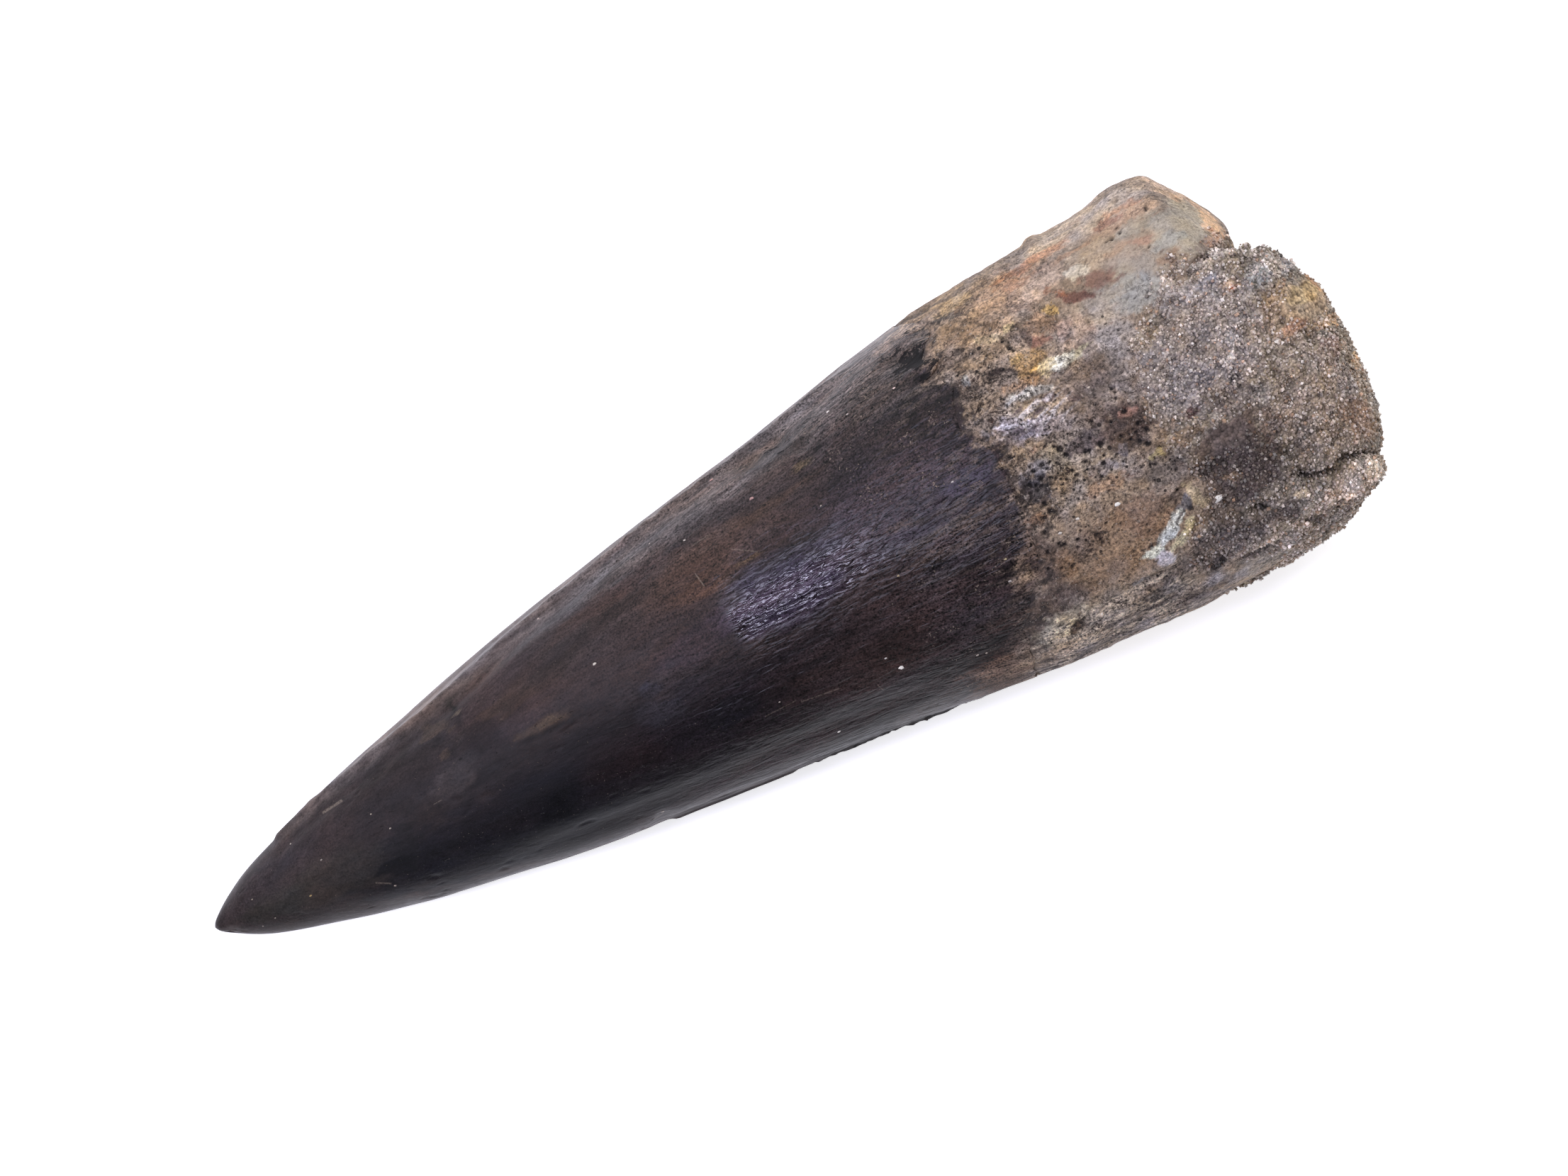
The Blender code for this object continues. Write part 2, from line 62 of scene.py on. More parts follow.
tooth = {
    "footprint": (49.940, 0.243),  # where the row frame's origin is, along and to +Y
    "width": [  # along, half width
        (0.0, 0.0), (0.2, 0.33), (0.4, 0.53), (1.0, 0.98), (2.2, 1.74), (4.0, 2.65), (8.0, 4.00),
        (14.0, 5.74), (22.0, 7.52), (30.0, 9.11), (42.0, 10.88), (54.0, 12.46), (66.0, 14.37),
        (74.0, 15.30), (82.0, 15.58), (90.0, 15.65), (110.0, 15.65),
    ],
    "sway": [  # along, middle of the outline across
        (0.0, 0.28), (14.0, 0.34), (28.0, 0.22), (42.0, -0.06), (54.0, -0.20), (70.0, -0.28),
        (82.0, -0.12), (90.0, -0.30), (94.0, -0.05), (98.0, 0.40),
    ],
    "underside": [  # along, height above the ground
        (0.0, 1.15), (2.0, 0.30), (5.0, -0.07), (12.0, 0.12), (25.0, 0.48), (45.0, 0.62),
        (62.0, 0.25), (74.0, -0.25), (82.0, -0.36), (90.0, -0.30), (110.0, -0.30),
    ],
    "upperShare": [(0.0, 0.80), (30.0, 0.80), (70.0, 0.84), (110.0, 0.82)],
    "lowerShare": [(0.0, 0.74), (40.0, 0.75), (75.0, 0.76), (110.0, 0.76)],
    "squareness": [(0.0, 2.0), (60.0, 2.0), (82.0, 2.25), (110.0, 2.25)],
    "domeStart": 84.0,  # where the rounded end starts
    "domeLength": 15.75,
    "domeFlatness": 3.4,
    "domeFullness": 2.6,
    "wallEnd": 95.6,  # how far the root's broken wall reaches, before it slopes back
    "wallCurve": 0.22,
    "wallPower": 1.5,
    "wallInnerRadius": 9.0,
    "wallRetreat": 4.0,
    "end": 99.9,
    "rimRounding": 0.5,
}

crust = {
    "thickness": 0.42,
    "bendBelow": 9.0,
    "side": [  # along, how far the crust reaches towards +Y
        (84.0, 3.4), (86.0, 5.9), (88.0, 6.7), (89.0, 7.8), (93.0, 8.6), (95.5, 8.0), (97.0, 7.3),
        (98.0, 6.3), (99.0, 5.0), (100.0, 3.4),
    ],
    "startAbove": [  # across, along
        (-16.0, 88.0), (-6.0, 85.8), (-3.3, 83.9), (-1.0, 83.3), (6.0, 84.2), (8.5, 84.4),
        (10.5, 81.2), (12.5, 81.6), (14.0, 86.0), (16.0, 88.5),
    ],
    "startBelow": [(-16.0, 90.0), (-8.0, 84.0), (0.0, 79.5), (8.0, 81.5), (16.0, 82.0)],
    # the unevenness of its rim, as noises: how strong, size, octaves, seed
    "ragged": [(0.9, 3.1, 1, 83), (0.5, 1.6, 1, 84), (0.35, 0.7, 1, 85), (0.2, 0.35, 1, 86)],
}

enamel = {
    "ledge": 0.03,  # how far the enamel's edge stands out
    "fade": 1.5,
    "edgeAbove": [  # across, along
        (-15.5, 68.6), (-13.2, 71.4), (-11.7, 69.8), (-10.8, 71.2), (-10.0, 68.9), (-9.0, 70.9),
        (-5.8, 70.0), (-2.5, 71.4), (2.2, 70.8), (5.0, 70.0), (8.0, 68.6), (10.6, 66.9),
        (12.5, 66.4), (15.5, 65.6),
    ],
    "edgeBelow": [
        (-15.5, 68.6), (-9.0, 71.5), (-2.0, 69.0), (5.0, 71.8), (11.0, 67.4), (15.5, 65.6),
    ],
    # chips in that edge, as noises: how strong, size, octaves, seed
    "chips": [(0.50, 3.1, 1, 5), (0.24, 1.2, 1, 6), (0.12, 0.5, 1, 7)],
}

relief = {  # the solid's slow swells and, on the crust, its grit
    "crownSwell": 0.05,
    "rootSwell": 0.34,
    "swellSize": 7.0,
    "grit": 0.28,
    "gritSize": 2.2,
}

carinae = [  # course as (along, degrees from straight up), start, end, height, half breadth
    ([(7.0, 76.0), (16.0, 65.0), (24.0, 61.0), (32.0, 67.0), (40.0, 70.0), (68.0, 75.0)],
     7.3, 66.0, 0.30, 0.60),
    ([(0.0, -94.0), (70.0, -92.0)], 35.5, 61.0, 0.22, 0.55),
]

furrows = [  # degrees, start, end, depth, half breadth
    (-57, 20, 62, 0.22, 1.5), (-22, 38, 68, 0.07, 1.8), (38, 30, 66, 0.08, 2),
    (128, 18, 62, 0.15, 1.8), (-132, 22, 60, 0.14, 2), (180, 30, 64, 0.08, 2.2),
]

# lumps and pits: along, across, half length, half breadth, turn, height, 1 above or -1 below
bumps = [
    (1.1, 1.2, 0.7, 0.4, 35, -0.10, 1), (14.2, 5.9, 1.6, 0.6, 22, -0.10, 1),
    (35.2, 9.7, 0.9, 0.5, 0, -0.16, 1), (54.4, -11.3, 1.7, 0.5, 8, -0.28, 1),
    (57.1, -11.7, 1.1, 0.5, 12, -0.30, 1), (58.5, -10.4, 0.6, 0.5, 0, -0.25, 1),
    (68.9, -12.3, 1.8, 0.7, 10, -0.32, 1), (69.9, -10.4, 2, 0.5, 6, -0.32, 1),
    (71.2, -13.6, 0.9, 0.7, 0, -0.30, 1), (77.4, -10.2, 1.7, 1.4, 20, 0.50, 1),
    (77.2, -8.8, 1.3, 0.5, 25, -0.30, 1), (74, -3.5, 3, 1.6, 12, 0.22, 1),
    (79.5, -6.2, 2.2, 0.7, 8, 0.16, 1), (84, -11, 4.5, 2.2, 8, 0.25, 1),
    (80.5, -3.2, 1.8, 1.6, 0, -0.24, 1), (80.8, 1.2, 1.8, 1.4, 0, -0.34, 1),
    (77, 0.2, 2, 2, 0, -0.16, 1), (73, 6, 4, 2.5, 0, 0.20, 1), (80.9, 8.8, 3.6, 1, -27, 0.34, 1),
    (81.4, 7.5, 2.4, 0.5, -27, -0.34, 1), (79, 10.6, 1, 0.9, 0, 0.22, 1),
    (72, 12.6, 6.5, 1.2, 2, 0.24, 1), (70, 11.7, 1.6, 0.45, 0, -0.28, 1),
    (81.9, -15.9, 0.8, 0.9, 0, 0.48, 1), (89.6, -15.6, 2.2, 1.6, 0, 0.34, 1),
    (88, 5, 3, 1.2, -5, -0.30, 1), (87.2, 10.9, 1.3, 0.5, 8, -0.60, 1),
    (84.3, 7, 0.8, 1.2, 0, -0.30, 1), (90.5, 11.7, 1.8, 0.7, 5, 0.35, 1),
    (95.4, 12.6, 2.4, 1.2, -12, 0.80, 1), (95.3, -8.3, 0.9, 0.7, -30, -0.70, 1),
    (92.2, -6, 2.5, 1.8, 0, 0.25, 1), (97, -1.5, 2.2, 2.4, 0, 0.20, 1),
    (93.5, 4.5, 2, 2.6, 0, 0.25, 1), (33, 2, 3.2, 1.5, 12, -0.22, -1),
    (52, -6, 4, 1.6, -10, -0.25, -1), (66, 7, 3, 1.8, 20, -0.28, -1),
    (75.5, -8, 3.5, 2.5, 0, 0.30, -1), (78, 8.5, 3, 2.2, 0, -0.30, -1),
    (86, 9.5, 3, 2.4, 0, 0.35, -1), (92, -3, 3, 3, 0, -0.30, -1),
]

cracks = [  # depth, half breadth, side, points along and across
    (0.95, 0.30, 1, [(91.2, 10.4), (92.4, 10.9), (93.8, 11.2), (94.6, 10.9), (95.8, 11.1), (97.4, 11.7)]),
    (0.22, 0.40, 1, [(74.0, 11.6), (77.0, 11.5), (80.0, 11.9), (83.0, 12.9)]),
    (0.30, 0.35, -1, [(58.0, -3.0), (66.0, -2.0), (72.0, -4.2), (80.0, -3.5)]),
]


def curve(stations, place):
    # smooth line through (place, value) stations that doesn't overshoot between them
    knots = np.array([station[0] for station in stations])
    values = np.array([station[1] for station in stations])
    gaps = np.diff(knots)
    slopes = np.diff(values) / gaps
    tangents = np.empty_like(values)
    tangents[0] = slopes[0]
    tangents[-1] = slopes[-1]
    before = slopes[:-1]
    after = slopes[1:]
    agree = before * after > 0
    weightBefore = 2 * gaps[1:] + gaps[:-1]
    weightAfter = gaps[1:] + 2 * gaps[:-1]
    safeBefore = np.where(agree, before, 1.0)
    safeAfter = np.where(agree, after, 1.0)
    blended = (weightBefore + weightAfter) / (weightBefore / safeBefore + weightAfter / safeAfter)
    tangents[1:-1] = np.where(agree, blended, 0.0)
    place = np.clip(place, knots[0], knots[-1])
    span = np.clip(np.searchsorted(knots, place) - 1, 0, len(gaps) - 1)
    gap = gaps[span]
    t = (place - knots[span]) / gap
    start = (1 + 2 * t) * (1 - t) ** 2 * values[span] + t * (1 - t) ** 2 * gap * tangents[span]
    finish = t * t * (3 - 2 * t) * values[span + 1] + t * t * (t - 1) * gap * tangents[span + 1]
    return start + finish


def ramp(value):
    value = np.clip(value, 0.0, 1.0)
    return value * value * (3 - 2 * value)


def between(value, start, end, fadeIn, fadeOut):
    # 0 outside start to end, 1 well inside
    return ramp((value - start) / fadeIn) * ramp((end - value) / fadeOut)


def blendLow(first, second, rounding):
    share = np.clip(0.5 + 0.5 * (second - first) / rounding, 0.0, 1.0)
    return second + (first - second) * share - rounding * share * (1 - share)


def blendHigh(first, second, rounding):
    return -blendLow(-first, -second, rounding)


class Section:
    # the cross section at each of many places along the tooth
    def __init__(self, along):
        self.halfWidth = np.maximum(curve(tooth["width"], along), 0.001)
        self.middle = -curve(tooth["sway"], along)
        self.upper = self.halfWidth * curve(tooth["upperShare"], along)
        self.lower = self.halfWidth * curve(tooth["lowerShare"], along)
        self.height = curve(tooth["underside"], along) + self.lower
        self.squareness = curve(tooth["squareness"], along)
        climb = np.clip((along - tooth["domeStart"]) / tooth["domeLength"], 0.0, 1.0)
        self.dome = (1 - climb ** tooth["domeFlatness"]) ** (1 / tooth["domeFullness"])

    def thickness(self, z):
        return np.where(z > self.height, self.upper, self.lower)

    def spread(self, y, z):
        # 0 on the axis, 1 on the outline
        across = np.abs(y - self.middle) / self.halfWidth
        upward = np.abs(z - self.height) / self.thickness(z)
        return (across**self.squareness + upward**self.squareness) ** (1 / self.squareness)

    def rise(self, z):
        # -1 at the underside, 1 at the top
        return np.clip((z - self.height) / self.thickness(z), -1.0, 1.0)

    def angle(self, y, z):
        # degrees from straight up, positive towards +Y
        upward = (z - self.height) / self.thickness(z)
        return np.degrees(np.arctan2((y - self.middle) / self.halfWidth, upward))

    def around(self, y, z, degrees):
        # millimetres round the section from an angle, positive towards +Y
        turn = (self.angle(y, z) - degrees + 180.0) % 360.0 - 180.0
        return np.radians(turn) * self.halfWidth


def crustBorder(along, y, z, section):
    # distance outside the crust, seen from above, and negative inside it
    above = ramp(0.5 + section.rise(z) * 1.6)
    below = np.clip((section.height - z) / 10.0, 0.0, 2.0)
    side = curve(crust["side"], along) - crust["bendBelow"] * below**2
    startAbove = curve(crust["startAbove"], -y)
    startBelow = curve(crust["startBelow"], -y)
    start = startBelow + (startAbove - startBelow) * above
    ragged = 0.5 * np.sin(along * 1.9 + 1.0) + 0.4 * np.sin(y * 2.3) + 0.3 * np.sin(z * 2.9 + along)
    return blendHigh(y - side, start - along, 1.0) + 0.6 * ragged * ramp((96.0 - along) / 4.0)


def raggedBorder(points):
    # the same with the ragged rim that the crust really has
    border = crustBorder(points[..., 0], points[..., 1], points[..., 2], Section(points[..., 0]))
    return border + layers(points, crust["ragged"]) - 0.4


def enamelEdge(y, rise):
    # how far along the enamel reaches
    above = ramp(0.5 + rise * 1.6)
    edgeAbove = curve(enamel["edgeAbove"], -y)
    edgeBelow = curve(enamel["edgeBelow"], -y)
    return edgeBelow + (edgeAbove - edgeBelow) * above


def brokenEdge(y, z, rise):
    # the same with its chips
    rim = np.stack([np.full(np.shape(y), 70.0), y, z], axis=-1)
    edge = enamelEdge(y, rise)
    return edge + layers(rim, enamel["chips"]) * ramp((edge - 60.0) / 6.0)


def crownDepth(along, y, z):
    # how far a point is outside the crown's main form, negative inside it
    section = Section(along)
    return np.maximum((section.spread(y, z) - 1.0) * section.halfWidth, -along)


def boneDepth(along, y, z):
    # the same for the root: its flanks and the sloping end of its broken wall
    section = Section(along)
    spread = section.spread(y, z)
    beyond = along - brokenEdge(y, z, section.rise(z))
    ledge = enamel["ledge"] * np.exp(-np.maximum(beyond, 0.0) / enamel["fade"]) + 0.30 * ramp(-beyond / 0.5)
    side = (spread - 1.0) * section.halfWidth + ledge
    retreat = tooth["wallRetreat"] * ramp(-crustBorder(along, y, z, section) / 3.0)
    rim = np.maximum(spread * section.halfWidth - tooth["wallInnerRadius"], 0.0)
    wallEnd = tooth["wallEnd"] - retreat - tooth["wallCurve"] * rim ** tooth["wallPower"]
    return blendHigh(side, along - wallEnd, tooth["rimRounding"])


def sandDepth(along, y, z):
    # the same for the sandstone that fills the root and coats it
    section = Section(along)
    domed = np.maximum(section.dome, 0.001)
    filling = (section.spread(y, z) / domed - 1.0) * section.halfWidth * domed - crust["thickness"]
    return blendHigh(filling, along - tooth["end"], 0.2)


def cast(origin, direction, depth, steps=24, reach=1.6):
    # where rays that start inside a form leave it
    near = np.zeros(direction.shape[:-1])
    far = np.full(direction.shape[:-1], reach)
    for _ in range(steps):
        middle = (near + far) / 2
        point = origin + direction * middle[..., None]
        outside = depth(point[..., 0], point[..., 1], point[..., 2]) > 0
        far = np.where(outside, middle, far)
        near = np.where(outside, near, middle)
    return (near + far) / 2


def chance(x, y, z, seed):
    # an even random number from 0 to 1 for each whole-number cell
    mask = 0xFFFFFFFF
    n = (x * 374761393 + y * 668265263 + z * 1274126177 + seed * 974711) & mask
    n = ((n ^ (n >> 13)) * 1103515245) & mask
    n = ((n ^ (n >> 15)) * 668265263) & mask
    return (n ^ (n >> 16)) / mask


def hills(points, size, seed=0):
    # smooth noise from -1 to 1; size is one number, or one for each axis
    place = points / np.array(size)
    cell = np.floor(place)
    part = place - cell
    part = part * part * part * (part * (part * 6 - 15) + 10)
    x, y, z = (cell[..., k].astype(np.int64) for k in range(3))
    total = 0.0
    for dx in (0, 1):
        wx = part[..., 0] if dx else 1 - part[..., 0]
        for dy in (0, 1):
            wy = part[..., 1] if dy else 1 - part[..., 1]
            for dz in (0, 1):
                wz = part[..., 2] if dz else 1 - part[..., 2]
                total = total + wx * wy * wz * chance(x + dx, y + dy, z + dz, seed)
    return 2 * total - 1


def roughness(points, size, octaves, seed=0):
    # hills on hills, each half the size and a bit over half the height of the last
    total = 0.0
    for k in range(octaves):
        total = total + 0.55**k * hills(points, np.array(size) / 2.0**k, seed + k)
    return total


def layers(points, parts):
    # several noises together: how strong each is, its size, octaves and seed
    return sum(amount * roughness(points, size, octaves, seed) for amount, size, octaves, seed in parts)


def swells(points, size):
    # the solid's own slow noise, so both surfaces rise and fall together
    flat = points.reshape(-1, 3)
    values = [noise.noise(Vector((p[0], p[1], p[2])) / size) for p in flat.tolist()]
    return np.array(values).reshape(points.shape[:-1])


def inOval(along, across, patch):
    # 0 in the middle of an oval patch and 1 on its outline, squared
    centre, middle, length, breadth, turn = patch[:5]
    cosine = math.cos(math.radians(turn))
    sine = math.sin(math.radians(turn))
    run = (along - centre) * cosine + (across - middle) * sine
    off = (across - middle) * cosine - (along - centre) * sine
    return (run / length) ** 2 + (off / breadth) ** 2


def mound(along, across, patch):
    # 1 in the middle of an oval patch, 0 well outside it
    return np.exp(-(inOval(along, across, patch) ** 1.5))


def lineDistance(along, across, points):
    nearest = np.full(along.shape, 1.0e3)
    for (x0, y0), (x1, y1) in zip(points, points[1:]):
        wayX, wayY = x1 - x0, y1 - y0
        run = ((along - x0) * wayX + (across - y0) * wayY) / (wayX**2 + wayY**2)
        run = np.clip(run, 0.0, 1.0)
        nearest = np.minimum(nearest, np.hypot(along - x0 - run * wayX, across - y0 - run * wayY))
    return nearest


def mainRelief(points):
    # what the solid has too: cutting edges, furrows, lumps, cracks and swells
    along, y, z = points[..., 0], points[..., 1], points[..., 2]
    section = Section(along)
    above = ramp(0.5 + section.rise(z) * 4.0)
    onRoot = ramp((along - enamelEdge(y, section.rise(z))) / 2.0)
    onCrust = ramp(-crustBorder(along, y, z, section)) * onRoot
    height = np.zeros_like(along)
    for course, start, end, tall, breadth in carinae:
        away = section.around(y, z, curve(course, along))
        ridge = tall * np.exp(-((away / breadth) ** 2))
        hollow = 0.12 * np.exp(-(((np.abs(away) - 1.9) / breadth) ** 2))
        height += (ridge - hollow) * between(along, start, end, 0.7, 5.0)
    for centre, start, end, deep, breadth in furrows:
        away = section.around(y, z, centre)
        height -= deep * between(along, start, end, 10.0, 8.0) * np.exp(-((away / breadth) ** 2))
    for bump in bumps:
        height += bump[5] * (above if bump[6] > 0 else 1 - above) * mound(along, -y, bump)
    for deep, breadth, side, line in cracks:
        reach = above if side > 0 else 1 - above
        height -= deep * reach * np.exp(-((lineDistance(along, -y, line) / breadth) ** 2))
    swell = relief["crownSwell"] + (relief["rootSwell"] - relief["crownSwell"]) * onRoot
    height += swell * swells(points, relief["swellSize"]) * ramp(along / 6.0)
    height += relief["grit"] * onCrust * swells(points, relief["gritSize"])
    return height, above, onRoot


class Skin:
    # a piece's vertices, as closed rings with a point at each end, and where each one lies
    def __init__(self, rings, startPoint, endPoint):
        self.rows, self.columns = rings.shape[:2]
        self.places = np.vstack([rings.reshape(-1, 3), startPoint, endPoint])
        self.along, self.across = self.places[:, 0], -self.places[:, 1]
        self.section = Section(self.along)
        self.rise = self.section.rise(self.places[:, 2])
        self.top = ramp(0.5 + self.rise * 3.0)  # 1 where it is seen from above
        self.past = self.along - enamelEdge(self.places[:, 1], self.rise)  # distance past the enamel
        # on steep sides and on the end, paint seen from above runs on at a slant, not straight down
        steep = np.maximum(0.32 - self.rise, 0.0) * ramp((self.along - 60.0) / 5.0)
        self.slant = self.along + 4.0 * steep

    def around(self, degrees):
        return self.section.around(self.places[:, 1], self.places[:, 2], degrees)

    def oval(self, *patch):
        return mound(self.along, self.across, patch)

    def hills(self, size, seed):
        return hills(self.places, size, seed)

    def layers(self, parts):
        return layers(self.places, parts)

    def blots(self, size, octaves, seed, start, soft):
        # 0 where the noise is below start, 1 where it is well above
        return ramp((roughness(self.places, size, octaves, seed) - start) / soft)

    def wander(self, sizes):
        # how far the paint's edges wander, along and across
        return [amount * (self.hills(size, seed) + 0.45 * self.hills(np.array(size) / 2.6, seed + 1))
                for size, amount, seed in sizes]


def toFrame(points):
    # millimetres on the tooth as metres in the part's frame
    return (points - np.array([*tooth["footprint"], 0.0])) * mm


def asObject(name, vertices, faces):
    mesh = bpy.data.meshes.new(name)
    mesh.from_pydata(vertices.tolist(), [], faces)
    piece = bpy.data.objects.new(name, mesh)
    bpy.context.scene.collection.objects.link(piece)
    return piece


def asGrid(name, skin):
    # each ring turns from +Z towards +Y
    k = np.arange(skin.columns)
    after = (k + 1) % skin.columns
    quads = []
    for row in range(skin.rows - 1):
        here = row * skin.columns
        there = here + skin.columns
        quads.append(np.stack([here + k, there + k, there + after, here + after], axis=-1))
    first = skin.rows * skin.columns
    last = first - skin.columns
    fans = [(first, int(a), int(b)) for a, b in zip(k, after)]
    fans += [(first + 1, int(last + b), int(last + a)) for a, b in zip(k, after)]
    piece = asObject(name, toFrame(skin.places), np.vstack(quads).tolist() + fans)
    piece.data.shade_smooth()
    return piece


def store(piece, name, values):
    # one number or one colour for each vertex, for the shader to read
    attributes = piece.data.attributes
    if values.ndim == 1:
        attributes.new(name, "FLOAT", "POINT").data.foreach_set("value", values.astype(np.float32))
        return
    colour = np.ones((len(values), 4), dtype=np.float32)
    colour[:, :3] = values
    attributes.new(name, "FLOAT_COLOR", "POINT").data.foreach_set("color", colour.ravel())


def shade(text):
    # a colour written as six hexadecimal digits, as linear light
    parts = np.array([int(text[k:k + 2], 16) / 255 for k in (0, 2, 4)])
    return np.where(parts <= 0.04045, parts / 12.92, ((parts + 0.055) / 1.055) ** 2.4)


def spread(colours, text, amount):
    # lays one colour over the others by an amount for each vertex
    colours += (shade(text) - colours) * amount[:, None]


def mixed(first, second, share):
    return first + (second - first) * share[:, None]


def paint(colours, along, across, patches, reach, ragged):
    # lays oval patches of colour over each other: the last lies on top, and small ones are sharpest
    for patch in patches:
        centre, _, length, breadth, _, text, strength = patch
        soft = 0.10 + 0.06 * min(length, 6.0)
        near = np.abs(along - centre) < (length + breadth) * 1.8 + 1.0
        torn = 0.55 + 0.7 / math.sqrt(length * breadth)
        gap = np.sqrt(inOval(along[near], across[near], patch)) + torn * ragged[near]
        weight = strength * reach[near] * ramp((1.0 + soft - gap) / (2 * soft))
        colours[near] += (shade(text) - colours[near]) * weight[:, None]


def painted(skin, table):
    # the base colour with its patches
    warp, warpAcross = skin.wander(table["wander"])
    ragged = skin.layers(table["ragged"])
    along, across, slant = skin.along + warp, skin.across + warpAcross, skin.slant + warp
    colours = np.tile(shade(table["base"]), (len(along), 1))
    paint(colours, slant, across, table["above"], skin.top, ragged)
    paint(colours, along, across, table["below"], 1 - skin.top, ragged)
    paint(colours, slant, across, table["wall"], skin.top, ragged)
    return colours


